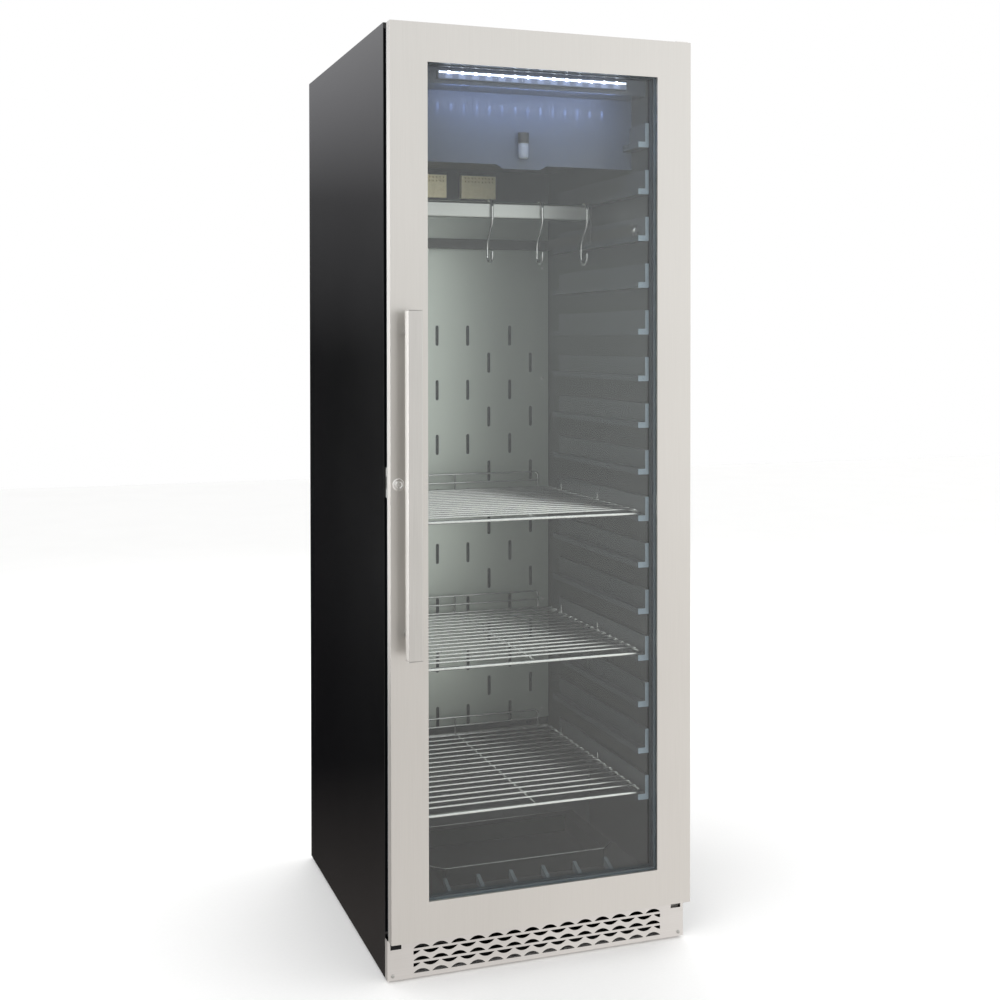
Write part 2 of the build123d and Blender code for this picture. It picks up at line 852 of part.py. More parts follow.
def fascia_panel():
    """Front of the evaporator housing, with the canopy that carries the light."""
    x = both(liner_half_width - fascia_side_gap)
    y = (fascia_y, fascia_y + fascia_sheet)
    fascia = block(x, y, (fascia_bottom_z, canopy_z + fascia_sheet))
    fascia += block(x, (canopy_y, y[1]), (canopy_z, canopy_z + fascia_sheet))
    fascia += block(x, (canopy_y, canopy_y + fascia_sheet), (canopy_z, ceiling_z))
    top_half = fascia_tongue_top / 2
    bottom_half = fascia_tongue_bottom / 2
    low_z = fascia_bottom_z - fascia_tongue_drop
    outline = Polyline(
        (-top_half, fascia_bottom_z),
        (-bottom_half, low_z),
        (bottom_half, low_z),
        (top_half, fascia_bottom_z),
        close=True,
    )
    tongue = extrude(Plane.XZ * make_face(outline), fascia_sheet, dir=(0, 1, 0))
    return fascia + Pos(0, fascia_y, 0) * tongue


def light_z():
    """Bottom and top of the light channel."""
    return canopy_z + light_rise, canopy_z + light_rise + light_height


def led_channel():
    """Aluminium channel for the light, open to the front."""
    z = light_z()
    channel = block(both(light_half_length), (canopy_y - light_depth, canopy_y), z)
    inner_y = (canopy_y - light_depth - overrun, canopy_y - light_wall)
    inner_z = (z[0] + light_wall, z[1] - light_wall)
    return channel - block(both(light_half_length - light_wall), inner_y, inner_z)


def led_lens():
    """Lens of the light, inside its channel."""
    y = (canopy_y - light_depth + light_wall / 2, canopy_y - light_wall)
    return block(both(light_half_length - light_wall), y, inset_span(light_z(), light_wall))


def probe_holder():
    """Clip that carries the humidity probe on the fascia."""
    y = fascia_y - probe_holder_diameter / 2
    low = probe_bottom_z + probe_length
    z = (low, low + probe_holder_height)
    holder = rod((0, y, z[0]), (0, y, z[1]), probe_holder_diameter)
    return holder + block(both(probe_holder_web / 2), (y, fascia_y), z)


def humidity_probe():
    """Round sensor body with a domed lower end."""
    y = fascia_y - probe_holder_diameter / 2
    probe = rod((0, y, probe_bottom_z), (0, y, probe_bottom_z + probe_length), probe_diameter)
    bottom_edge = probe.edges().sort_by(Axis.Z)[0]
    return fillet(bottom_edge, probe_diameter / 4)


def drip_tray():
    """Tray under the evaporator, which closes the housing from below."""
    x = both(liner_half_width - fascia_side_gap)
    y = (fascia_y + fascia_sheet, liner_back_y)
    z = (drip_tray_z, drip_tray_z + drip_tray_sheet + drip_tray_rim)
    hollow_x = both(liner_half_width - fascia_side_gap - drip_tray_sheet)
    hollow_y = (y[0] + drip_tray_sheet, y[1] - drip_tray_sheet)
    return block(x, y, z) - block(hollow_x, hollow_y, (z[0] + drip_tray_sheet, z[1] + overrun))


def coil(x, y, z, fin_count, foot_z):
    """Finned coil: end plates down to foot_z, thin fins and hairpin tubes."""
    rows = range(coil_tube_rows)
    row_pitch = (z[1] - z[0]) / coil_tube_rows
    tube_zs = [z[0] + (row + 1 / 2) * row_pitch for row in rows]
    tube_ys = [y[0] + (y[1] - y[0]) / 4, y[1] - (y[1] - y[0]) / 4]
    bore = coil_tube_diameter + 2 * running_gap
    ends = (x[0] - overrun, x[1] + overrun)
    bores = [rod((ends[0], ty, tz), (ends[1], ty, tz), bore) for ty in tube_ys for tz in tube_zs]
    pieces = []
    for plate in ((x[0], x[0] + coil_end_plate), (x[1] - coil_end_plate, x[1])):
        pieces.append(block(plate, y, (foot_z, z[1])) - bores)
    fin = block((x[0], x[0] + coil_fin_sheet), y, z) - bores
    pitch = (x[1] - x[0] - coil_end_plate) / (fin_count + 1)
    for number in range(1, fin_count + 1):
        pieces.append(Pos(number * pitch, 0, 0) * fin)
    reach = coil_tube_diameter
    bend = (tube_ys[1] - tube_ys[0]) / 2 - running_gap
    for tz in tube_zs:
        points = [
            (x[0] - reach, tube_ys[0], tz),
            (x[1] + reach + bend, tube_ys[0], tz),
            (x[1] + reach + bend, tube_ys[1], tz),
            (x[0] - reach, tube_ys[1], tz),
        ]
        pieces.append(tube_along(points, coil_tube_diameter, bend))
    return pieces


def evaporator_coil():
    """Evaporator, standing in the drip tray."""
    y = (front_y + evaporator_setback, front_y + evaporator_setback + evaporator_depth)
    z = (drip_floor_z + evaporator_lift, drip_floor_z + evaporator_lift + evaporator_height)
    return coil(both(evaporator_half_width), y, z, evaporator_fin_count, drip_floor_z)


def condenser_coil():
    """Condenser, standing on the base pan."""
    z = (base_top_z + seat_gap, base_top_z + seat_gap + condenser_height)
    return coil(condenser_x, condenser_y, z, condenser_fin_count, base_top_z)


def fan_centres():
    """Centre of the front face and size of each fan."""
    evaporator = (0, front_y + evaporator_fan_setback, drip_floor_z + evaporator_fan_size / 2)
    condenser_fan_y = condenser_y[1] + condenser_fan_gap
    condenser = (sum(condenser_x) / 2, condenser_fan_y, base_top_z + condenser_fan_size / 2)
    return {
        "evaporator_fan_rotor": (evaporator, evaporator_fan_size),
        "condenser_fan_rotor": (condenser, condenser_fan_size),
    }


def fan_frame(centre, size):
    """Square frame with a round duct, motor, spokes and shaft."""
    x, y, z = centre
    rear = y + fan_frame_depth
    frame = block(about(x, size), (y, rear), about(z, size))
    frame -= rod((x, y - overrun, z), (x, rear + overrun, z), size - 2 * fan_wall)
    spoke = block((0, (size - fan_wall) / 2), (rear - fan_spoke_depth, rear), both(fan_spoke_width / 2))
    for number in range(fan_spoke_count):
        frame += Pos(x, 0, z) * Rot(0, 360 * number / fan_spoke_count, 0) * spoke
    frame += rod((x, rear - fan_motor_depth, z), (x, rear, z), size * fan_motor_share)
    return frame + rod((x, y, z), (x, rear, z), fan_shaft_diameter)


def fan_rotor(centre, size):
    """Hub with pitched blades on the fan's shaft."""
    x, y, z = centre
    motor_front = y + fan_frame_depth - fan_motor_depth
    hub_rear = motor_front - seat_gap
    hub_front = hub_rear - fan_hub_depth
    hub_diameter = size * fan_motor_share
    rotor = rod((x, hub_front, z), (x, hub_rear, z), hub_diameter)
    tip_radius = size / 2 - fan_wall - fan_tip_gap
    root_radius = hub_diameter / 2 - fan_blade_sheet
    blade_width = (fan_hub_depth - 2 * fan_blade_sheet) / math.sin(math.radians(fan_blade_pitch))
    blade = Rot(fan_blade_pitch, 0, 0) * Box(tip_radius - root_radius, fan_blade_sheet, blade_width)
    blade = Pos((tip_radius + root_radius) / 2, 0, 0) * blade
    middle = Pos(x, (hub_front + hub_rear) / 2, z)
    for number in range(fan_blade_count):
        rotor += middle * Rot(0, 360 * number / fan_blade_count, 0) * blade
    bore = fan_shaft_diameter + 2 * running_gap
    return rotor - rod((x, hub_front - overrun, z), (x, hub_rear + overrun, z), bore)


def compressor():
    """Hermetic shell on a mounting plate with four feet."""
    x, y = compressor_x, compressor_y
    plate_z = base_top_z + compressor_foot_height
    shell_z = plate_z + compressor_plate
    shell = rod((x, y, shell_z), (x, y, shell_z + compressor_height), 2 * compressor_radius)
    rims = shell.edges().filter_by(GeomType.CIRCLE)
    shell = fillet(rims, compressor_dome)
    width = 2 * compressor_radius
    body = shell + block(about(x, width), about(y, width), (plate_z, shell_z))
    spacing = width - 2 * compressor_foot_radius
    for foot_x in about(x, spacing):
        for foot_y in about(y, spacing):
            body += rod((foot_x, foot_y, base_top_z), (foot_x, foot_y, shell_z), 2 * compressor_foot_radius)
    return body


def refrigerant_pipes():
    """Suction riser to the evaporator, and discharge pipe to the condenser."""
    coil_y = front_y + evaporator_setback + evaporator_depth / 2
    start_z = base_top_z + suction_rise
    suction = [
        (compressor_x, compressor_y + compressor_radius, start_z),
        (compressor_x, riser_y, start_z),
        (riser_x, riser_y, start_z),
        (riser_x, riser_y, suction_z),
        (riser_x, coil_y, suction_z),
        (-evaporator_half_width, coil_y, suction_z),
    ]
    discharge_x = condenser_x[0] - discharge_gap
    discharge_z = base_top_z + discharge_rise
    middle_y = sum(condenser_y) / 2
    discharge = [
        (compressor_x + compressor_radius, compressor_y, discharge_z),
        (discharge_x, compressor_y, discharge_z),
        (discharge_x, middle_y, discharge_z),
        (condenser_x[0], middle_y, discharge_z),
    ]
    return [tube_along(route, pipe_diameter, pipe_bend_radius) for route in (suction, discharge)]


def control_box():
    """Closed box for the controller and its power supply."""
    x = -half_width + control_box_inset_x
    y = front_y + control_box_inset_y
    z = (base_top_z, base_top_z + control_box_height)
    return block((x, x + control_box_width), (y, y + control_box_depth), z)


def power_inlet():
    """Appliance inlet, flush with the rear cover."""
    x = about(inlet_x, inlet_width)
    z = about(inlet_z, inlet_height)
    front = back_y - inlet_depth
    body = block(x, (front, back_y), z)
    mouth_y = (front + inlet_wall, back_y + overrun)
    return body - block(inset_span(x, inlet_wall), mouth_y, inset_span(z, inlet_wall))


def kick_slot(up):
    """Slot with one straight side and one arched side."""
    half = kick_slot_length / 2
    rise = kick_slot_height if up else -kick_slot_height
    low = -rise / 2
    arch = ThreePointArc((-half, low), (0, low + rise), (half, low))
    return make_face([arch.edge(), Line((half, low), (-half, low)).edge()])


def kick_slots():
    """All slots: rows arched up and down in turn, every other row offset."""
    slots = []
    count = int((half_width - kick_side_border) * 2 / kick_slot_pitch)
    limit = ((count - 1) * kick_slot_pitch + kick_slot_length) / 2
    window = Rectangle(2 * limit, kick_slot_height)
    lowest = panel_lift + kick_row_rise
    for row in range(copies((lowest, kick_top_z - kick_row_margin), kick_row_pitch)):
        z = lowest + row * kick_row_pitch
        up = row % 2 == 0
        first = -(count - 1) / 2 if up else -count / 2
        for number in range(count if up else count + 1):
            x = (first + number) * kick_slot_pitch
            slot = Pos(x, 0) * kick_slot(up)
            edge_slot = abs(x) + kick_slot_length / 2 > limit
            slots.append(Pos(0, z) * (slot & window if edge_slot else slot))
    return slots


def kick_screw_places():
    """X and Z of the two screws of the kickplate."""
    return [(x, panel_lift + kick_screw_rise) for x in both(half_width - kick_screw_inset)]


def kickplate():
    """Steel grille under the door, with notches at its two top corners."""
    half = half_width - kick_side_gap
    face = Pos(0, (panel_lift + kick_top_z) / 2) * Rectangle(2 * half, kick_top_z - panel_lift)
    face -= kick_slots()
    face -= [Pos(x, z) * Circle(screw_shank_diameter / 2) for x, z in kick_screw_places()]
    notch = Rectangle(kick_notch_width, 2 * kick_notch_depth)
    notch_x = half_width - kick_notch_inset - kick_notch_width / 2
    face -= [Pos(x, kick_top_z) * notch for x in both(notch_x)]
    plane = Plane(origin=(0, kick_front_y, 0), x_dir=(1, 0, 0), z_dir=(0, -1, 0))
    plate = extrude(plane * face, -kick_sheet)
    fold_y = (kick_front_y, front_y)
    for x in ((half - kick_sheet, half), (-half, -half + kick_sheet)):
        plate += block(x, fold_y, (panel_lift, kick_top_z))
    return plate + block(both(half), fold_y, (panel_lift, panel_lift + kick_sheet))


def hinge_plug():
    """Black plug in the unused hinge notch."""
    right = -half_width + kick_notch_inset + kick_notch_width - plug_gap
    left = -half_width + kick_notch_inset + plug_gap
    z = (kick_top_z - kick_notch_depth + plug_gap, kick_top_z)
    body = block((left, right), (kick_front_y - plug_lead, front_y), z)
    front_edges = body.edges().group_by(Axis.Y)[0]
    return fillet(front_edges, plug_lead / 2)


def hinge_rod(low, high, diameter):
    """A round bar on the hinge axis."""
    return rod((hinge_x, hinge_y, low), (hinge_x, hinge_y, high), diameter)


def hinge_brackets():
    """Upper and lower hinge plates, each with a leg against the body."""
    plate_x = (hinge_x - hinge_plate_margin, hinge_x + hinge_plate_margin)
    plate_y = (hinge_y - hinge_plate_margin, front_y)
    leg_x = (half_width - hinge_leg_inset - hinge_leg_width, half_width - hinge_leg_inset)
    leg_y = (front_y - hinge_leg_thickness, front_y)
    upper_z = (door_top_z + seat_gap, door_top_z + seat_gap + hinge_plate_thickness)
    lower_z = (door_bottom_z - seat_gap - hinge_plate_thickness, door_bottom_z - seat_gap)
    brackets = []
    for z, leg_z in (
        (upper_z, (upper_z[1] - hinge_leg_length, upper_z[1])),
        (lower_z, (lower_z[0] - hinge_leg_length, lower_z[1])),
    ):
        bracket = block(plate_x, plate_y, z) + block(leg_x, leg_y, leg_z)
        brackets.append(bracket - hinge_rod(z[0] - overrun, z[1] + overrun, hinge_pin_diameter))
    return brackets


def hinge_pins():
    """Pins pressed into the hinge plates."""
    upper_top = door_top_z + seat_gap + hinge_plate_thickness
    lower_low = door_bottom_z - seat_gap - hinge_plate_thickness
    reach = hinge_bush_length - seat_gap
    upper = hinge_rod(door_top_z - reach, upper_top, hinge_pin_diameter)
    lower = hinge_rod(lower_low, door_bottom_z + reach, hinge_pin_diameter)
    return upper, lower


def bush_spans():
    """Z span of the upper and the lower hinge bush."""
    return (
        (door_top_z - hinge_bush_length, door_top_z),
        (door_bottom_z, door_bottom_z + hinge_bush_length),
    )


def hinge_bushes():
    """Bushes in the door, running on the pins."""
    bushes = []
    for low, high in bush_spans():
        bore = hinge_rod(low - overrun, high + overrun, hinge_pin_diameter + 2 * running_gap)
        bushes.append(hinge_rod(low, high, hinge_bush_diameter) - bore)
    return bushes


def bush_holes():
    """Cuts that take the bushes."""
    (upper_low, upper_high), (lower_low, lower_high) = bush_spans()
    upper = hinge_rod(upper_low, upper_high + overrun, hinge_bush_diameter)
    return [upper, hinge_rod(lower_low - overrun, lower_high, hinge_bush_diameter)]


def lock_bore(y_low, y_high, diameter):
    """A round bar on the lock's axis."""
    return rod((lock_x, y_low, lock_z), (lock_x, y_high, lock_z), diameter)


def handle_rod(y_low, y_high, z, diameter):
    """A round bar on the axis of a handle post."""
    return rod((handle_x, y_low, z), (handle_x, y_high, z), diameter)


def handle_post_places():
    """Z of the two handle posts."""
    low = handle_bottom_z + handle_post_inset
    return low, handle_bottom_z + handle_length - handle_post_inset


def door_skin():
    """Steel front of the door, with folded sides and a lip at the window."""
    z = (door_bottom_z, door_top_z)
    skin = block(both(half_width), (door_front_y, door_front_y + door_skin_return), z)
    inner_z = (z[0] + door_sheet, z[1] - door_sheet)
    inner_y = (door_front_y + door_sheet, door_front_y + door_skin_return + overrun)
    skin -= block(both(half_width - door_sheet), inner_y, inner_z)
    lip_x = window_half_width + door_sheet
    lip_z = (window_bottom_z - door_sheet, window_top_z + door_sheet)
    skin += block(both(lip_x), (door_front_y, glass_front_y), lip_z)
    window_y = (door_front_y - overrun, glass_front_y + overrun)
    skin -= block(both(window_half_width), window_y, (window_bottom_z, window_top_z))
    skin -= bush_holes()
    skin -= lock_bore(door_front_y - overrun, inner_y[0] + overrun, lock_barrel_diameter)
    for post_z in handle_post_places():
        skin -= handle_rod(door_front_y - overrun, inner_y[0], post_z, handle_screw_diameter)
    return skin


def door_core():
    """Four profile bars inside the skin, with the glazing rebate."""
    z = (door_bottom_z + door_sheet, door_top_z - door_sheet)
    y = (door_front_y + door_sheet, core_back_y)
    opening_z = (window_bottom_z - door_sheet, window_top_z + door_sheet)
    bars = ring(half_width - door_sheet, z, window_half_width + door_sheet, opening_z, y)
    rebate_z = (window_bottom_z - glass_bite, window_top_z + glass_bite)
    cuts = [block(both(window_half_width + glass_bite), (glass_front_y, y[1] + overrun), rebate_z)]
    cuts += bush_holes()
    cuts.append(lock_bore(y[0] - overrun, y[1] + overrun, lock_barrel_diameter))
    seat_y = door_front_y + door_sheet + handle_screw_web
    for post_z in handle_post_places():
        cuts.append(handle_rod(y[0] - overrun, seat_y, post_z, handle_screw_diameter))
        cuts.append(handle_rod(seat_y, y[1] + overrun, post_z, handle_screw_head_diameter))
    return each_cut(bars, cuts)


def gasket_spans():
    """Outer half width and outer Z span of the gasket."""
    return half_width - gasket_inset, (door_bottom_z + gasket_inset, door_top_z - gasket_inset)


def inset_span(span, amount):
    """A span drawn in at both ends."""
    return (span[0] + amount, span[1] - amount)


def gasket_rib(y):
    """The rib that sits in the inner frame's groove."""
    outer_x, outer_z = gasket_spans()
    margin = (gasket_width - gasket_rib_width) / 2
    far = margin + gasket_rib_width
    return ring(outer_x - margin, inset_span(outer_z, margin), outer_x - far, inset_span(outer_z, far), y)


def door_inner_frame():
    """Four black bars behind the glass, with the gasket's groove."""
    inset = inner_frame_inset
    z = (door_bottom_z + inset, door_top_z - inset)
    y = (core_back_y, door_back_y)
    bars = ring(half_width - inset, z, window_half_width, (window_bottom_z, window_top_z), y)
    cuts = gasket_rib((door_back_y - gasket_rib_depth, door_back_y + overrun))
    cuts.append(lock_bore(y[0] - overrun, y[1] + overrun, lock_barrel_diameter))
    return each_cut(bars, cuts)


def door_gasket():
    """Magnetic rubber seal in four lengths round the back of the door."""
    outer_x, outer_z = gasket_spans()
    inner_z = inset_span(outer_z, gasket_width)
    lips = ring(outer_x, outer_z, outer_x - gasket_width, inner_z, (door_back_y, front_y - seat_gap))
    ribs = gasket_rib((door_back_y - gasket_rib_depth, door_back_y))
    return [lip + rib for lip, rib in zip(lips, ribs)]


def glass_panes():
    """Outer and inner pane of the glass unit."""
    reach = glass_bite - glass_edge_gap
    x = both(window_half_width + reach)
    z = (window_bottom_z - reach, window_top_z + reach)
    outer = block(x, (glass_front_y, glass_front_y + glass_thickness), z)
    inner_front = glass_front_y + glass_thickness + glass_gap
    return outer, block(x, (inner_front, inner_front + glass_thickness), z)


def glass_spacer():
    """Four spacer bars between the two panes."""
    reach = glass_bite - glass_edge_gap
    y = (glass_front_y + glass_thickness, glass_front_y + glass_thickness + glass_gap)
    outer_z = (window_bottom_z - reach, window_top_z + reach)
    inner_z = inset_span(outer_z, spacer_width)
    outer_x = window_half_width + reach
    return ring(outer_x, outer_z, outer_x - spacer_width, inner_z, y)


def door_handle():
    """Square tube with end caps on two round posts."""
    x = (handle_x - handle_bar_width / 2, handle_x + handle_bar_width / 2)
    y = (door_front_y - handle_reach, handle_back_y)
    z = (handle_bottom_z, handle_bottom_z + handle_length)
    bar = block(x, y, inset_span(z, handle_wall))
    bar -= block(inset_span(x, handle_wall), inset_span(y, handle_wall), z)
    caps = [block(x, y, (z[0], z[0] + handle_wall)), block(x, y, (z[1] - handle_wall, z[1]))]
    posts = []
    for post_z in handle_post_places():
        post = handle_rod(handle_back_y, door_front_y, post_z, handle_post_diameter)
        hole_y = door_front_y - handle_screw_grip
        posts.append(post - handle_rod(hole_y, door_front_y, post_z, handle_screw_diameter))
    return [bar] + caps + posts


def handle_screws():
    """Screws from inside the door into the handle posts."""
    seat_y = door_front_y + door_sheet + handle_screw_web
    screws = []
    for z in handle_post_places():
        shank = handle_rod(door_front_y - handle_screw_grip, seat_y, z, handle_screw_diameter)
        head_y = seat_y + handle_screw_head_height
        screws.append(shank + handle_rod(seat_y, head_y, z, handle_screw_head_diameter))
    return screws


def lock_barrel():
    """Fixed barrel of the lock with its round rosette."""
    rosette_y = door_front_y - lock_rosette_height
    tail_y = door_back_y + lock_barrel_tail
    barrel = lock_bore(rosette_y, door_front_y, lock_rosette_diameter)
    barrel += lock_bore(rosette_y, tail_y, lock_barrel_diameter)
    return barrel - lock_bore(rosette_y - overrun, tail_y + overrun, lock_plug_diameter + 2 * running_gap)


def lock_plug():
    """Turning plug with its keyway, and the cam behind it."""
    front = door_front_y - lock_rosette_height - lock_plug_lead
    cam_y = door_back_y + lock_barrel_tail + lock_cam_standoff
    plug = lock_bore(front, cam_y, lock_plug_diameter)
    keyway_x = (lock_x - keyway_width / 2, lock_x + keyway_width / 2)
    keyway_z = (lock_z - keyway_height / 2, lock_z + keyway_height / 2)
    plug -= block(keyway_x, (front - overrun, front + keyway_depth), keyway_z)
    cam_back = cam_y + lock_cam_thickness
    cam = lock_bore(cam_y, cam_back, lock_cam_hub_diameter)
    tongue_x = (lock_x - lock_cam_width / 2, lock_x + lock_cam_width / 2)
    cam += block(tongue_x, (cam_y, cam_back), (lock_z - lock_cam_reach, lock_z))
    return plug, cam


def lock_keeper():
    """Slotted keeper on the body, which the cam turns into."""
    plate_x = (lock_x - keeper_offset - keeper_thickness, lock_x - keeper_offset)
    z = (lock_z - keeper_height / 2, lock_z + keeper_height / 2)
    cam_y = door_back_y + lock_barrel_tail + lock_cam_standoff
    slot_y = (cam_y - keeper_slot_margin, cam_y + lock_cam_thickness + keeper_slot_margin)
    keeper = block(plate_x, (slot_y[0] - keeper_slot_margin, front_y), z)
    foot_y = (front_y - keeper_thickness, front_y)
    keeper += block((plate_x[0], plate_x[1] + keeper_foot), foot_y, z)
    slot_x = (plate_x[0] - overrun, plate_x[1] + overrun)
    slot_z = (lock_z - keeper_slot_height / 2, lock_z + keeper_slot_height / 2)
    return keeper - block(slot_x, slot_y, slot_z)


def main():
    """Build and write every sub-part."""
    os.makedirs("parts", exist_ok=True)
    save("left_side_panel", side_panel(-1))
    save("right_side_panel", side_panel(1))
    save("top_panel", top_panel())
    save("rear_panels", *rear_panels())
    save("base_pan", base_pan())
    save("insulation_foam", insulation_foam())
    save("front_frame", *front_frame())
    save("inner_liner", *liner_solids())
    save("liner_floor", *liner_floor())
    save("liner_step", *liner_step())
    save("shelf_runners", *shelf_runners())
    save("rear_air_panel", rear_air_panel())
    save("upper_duct_cover", upper_duct_cover())
    save("panel_screws", *panel_screws())
    save("carbon_filters", *carbon_filters())
    save("fascia_panel", fascia_panel())
    save("led_channel", led_channel())
    save("led_lens", led_lens())
    save("probe_holder", probe_holder())
    save("humidity_probe", humidity_probe())
    save("drip_tray", drip_tray())
    save("evaporator_coil", *evaporator_coil())
    save("condenser_coil", *condenser_coil())
    fans = fan_centres()
    save("fan_frames", *[fan_frame(centre, size) for centre, size in fans.values()])
    for name, (centre, size) in fans.items():
        save(name, fan_rotor(centre, size))
    save("compressor", compressor())
    save("refrigerant_pipes", *refrigerant_pipes())
    save("control_box", control_box())
    save("power_inlet", power_inlet())
    save("kickplate", kickplate())
    save("hinge_plug", hinge_plug())
    save("hinge_brackets", *hinge_brackets())
    save("hinge_pins", *hinge_pins())
    save("hinge_bushes", *hinge_bushes())
    save("lock_keeper", lock_keeper())
    save("lock_barrel", lock_barrel())
    save("lock_plug", *lock_plug())
    save("door_skin", door_skin())
    save("door_core", *door_core())
    save("door_inner_frame", *door_inner_frame())
    save("door_gasket", *door_gasket())
    save("glass_panes", *glass_panes())
    save("glass_spacer", *glass_spacer())
    save("door_handle", *door_handle())
    save("handle_screws", *handle_screws())
    for name, number in shelf_runner_numbers.items():
        save(name, *wire_shelf(number))
    save("rack_frame", *rack_frame())
    save("rack_knobs", *rack_knobs())
    save("hanging_rail", hanging_rail())
    for name, share in hook_place_shares.items():
        save(name, meat_hook(share))
    save("salt_tray", salt_tray())
    for name, (x, y) in foot_places().items():
        save(name, levelling_foot(x, y))


main()
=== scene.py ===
"""Looks of a dry aging cabinet with a glass door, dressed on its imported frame."""

import logging
import math
from dataclasses import dataclass
from enum import Enum
from functools import cache

import bmesh
import bpy
from mathutils import Matrix, Vector


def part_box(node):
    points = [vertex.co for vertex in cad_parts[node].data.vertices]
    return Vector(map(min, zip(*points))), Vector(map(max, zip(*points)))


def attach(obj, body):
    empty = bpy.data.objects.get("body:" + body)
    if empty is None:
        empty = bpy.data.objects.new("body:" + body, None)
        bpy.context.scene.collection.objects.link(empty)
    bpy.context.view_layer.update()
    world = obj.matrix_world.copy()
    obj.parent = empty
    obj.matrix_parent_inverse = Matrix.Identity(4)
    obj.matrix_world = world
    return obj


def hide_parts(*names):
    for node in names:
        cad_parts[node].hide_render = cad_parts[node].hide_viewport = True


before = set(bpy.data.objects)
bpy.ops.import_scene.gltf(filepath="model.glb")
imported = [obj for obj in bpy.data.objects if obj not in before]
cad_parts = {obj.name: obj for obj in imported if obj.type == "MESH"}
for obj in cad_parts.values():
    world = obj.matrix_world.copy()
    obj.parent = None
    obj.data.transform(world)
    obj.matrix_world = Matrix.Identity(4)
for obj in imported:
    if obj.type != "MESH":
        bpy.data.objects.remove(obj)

LOG = logging.getLogger("cabinet")

Colour = tuple[float, float, float]
Place = tuple[float, float, float]
Span = tuple[float, float]
Stops = tuple[tuple[float, Colour], ...]
Socket = bpy.types.NodeSocket

MM = 0.001
MICRON = 0.000001
QUARTER_TURN = math.radians(90)

# Edges that turn by more are rounded.
SHARP_TURN = math.radians(40)

# Edges that turn by less are shaded smooth.
SMOOTH_TURN = math.radians(35)

# Faces that are larger are shaded flat.
FLAT_AREA = 60.0 * MM * MM

# Neighbours in a copied mesh that turn by less are one flat face.
FLAT_TURN = math.radians(0.5)

# A face whose normal has at most this Y looks straight forward.
FORWARD_Y = -0.99

# Vertices nearer than this are one, in a turned shape and in a copy of a CAD node.
SEAM_GAP = MM / 1000
COPY_GAP = MM / 100

# Grey values that most of a noise lies between, and its roughness.
NOISE_RANGE = (0.3, 0.7)
NOISE_ROUGHNESS = 0.6

# Grey values where the dark and the light tone of a finish hold.
TONE_RANGE = (0.35, 0.65)


class Axis(Enum):
    """A direction that a round piece is turned about, by its turn from upright."""

    FORWARD = Matrix.Rotation(QUARTER_TURN, 4, "X")
    BACKWARD = Matrix.Rotation(-QUARTER_TURN, 4, "X")


class Body(Enum):
    """The moving bodies that new pieces ride on."""

    CABINET = "cabinet"
    DOOR = "door"
    LOCK = "lock"
    TRAY = "tray"


class Slot(Enum):
    """The record's material slots named for new pieces, which are passed along but not assigned."""

    CASING = "casing_black"
    LINER = "liner_black"
    FASCIA = "fascia"
    LENS = "led_lens"
    STEEL = "stainless"
    ZINC = "zinc_steel"


class Grain(Enum):
    """Repeats of a surface's grain per metre along X, Y and Z."""

    UPRIGHT = (420.0, 420.0, 3.0)
    CROSSWISE = (3.0, 420.0, 420.0)
    FINE_UPRIGHT = (1500.0, 1500.0, 9.0)
    FINE_CROSSWISE = (9.0, 1500.0, 1500.0)
    DEEP = (420.0, 3.0, 420.0)
    FINE = (900.0, 900.0, 900.0)
    COARSE = (160.0, 160.0, 160.0)
    SPANGLE = (85.0, 85.0, 85.0)


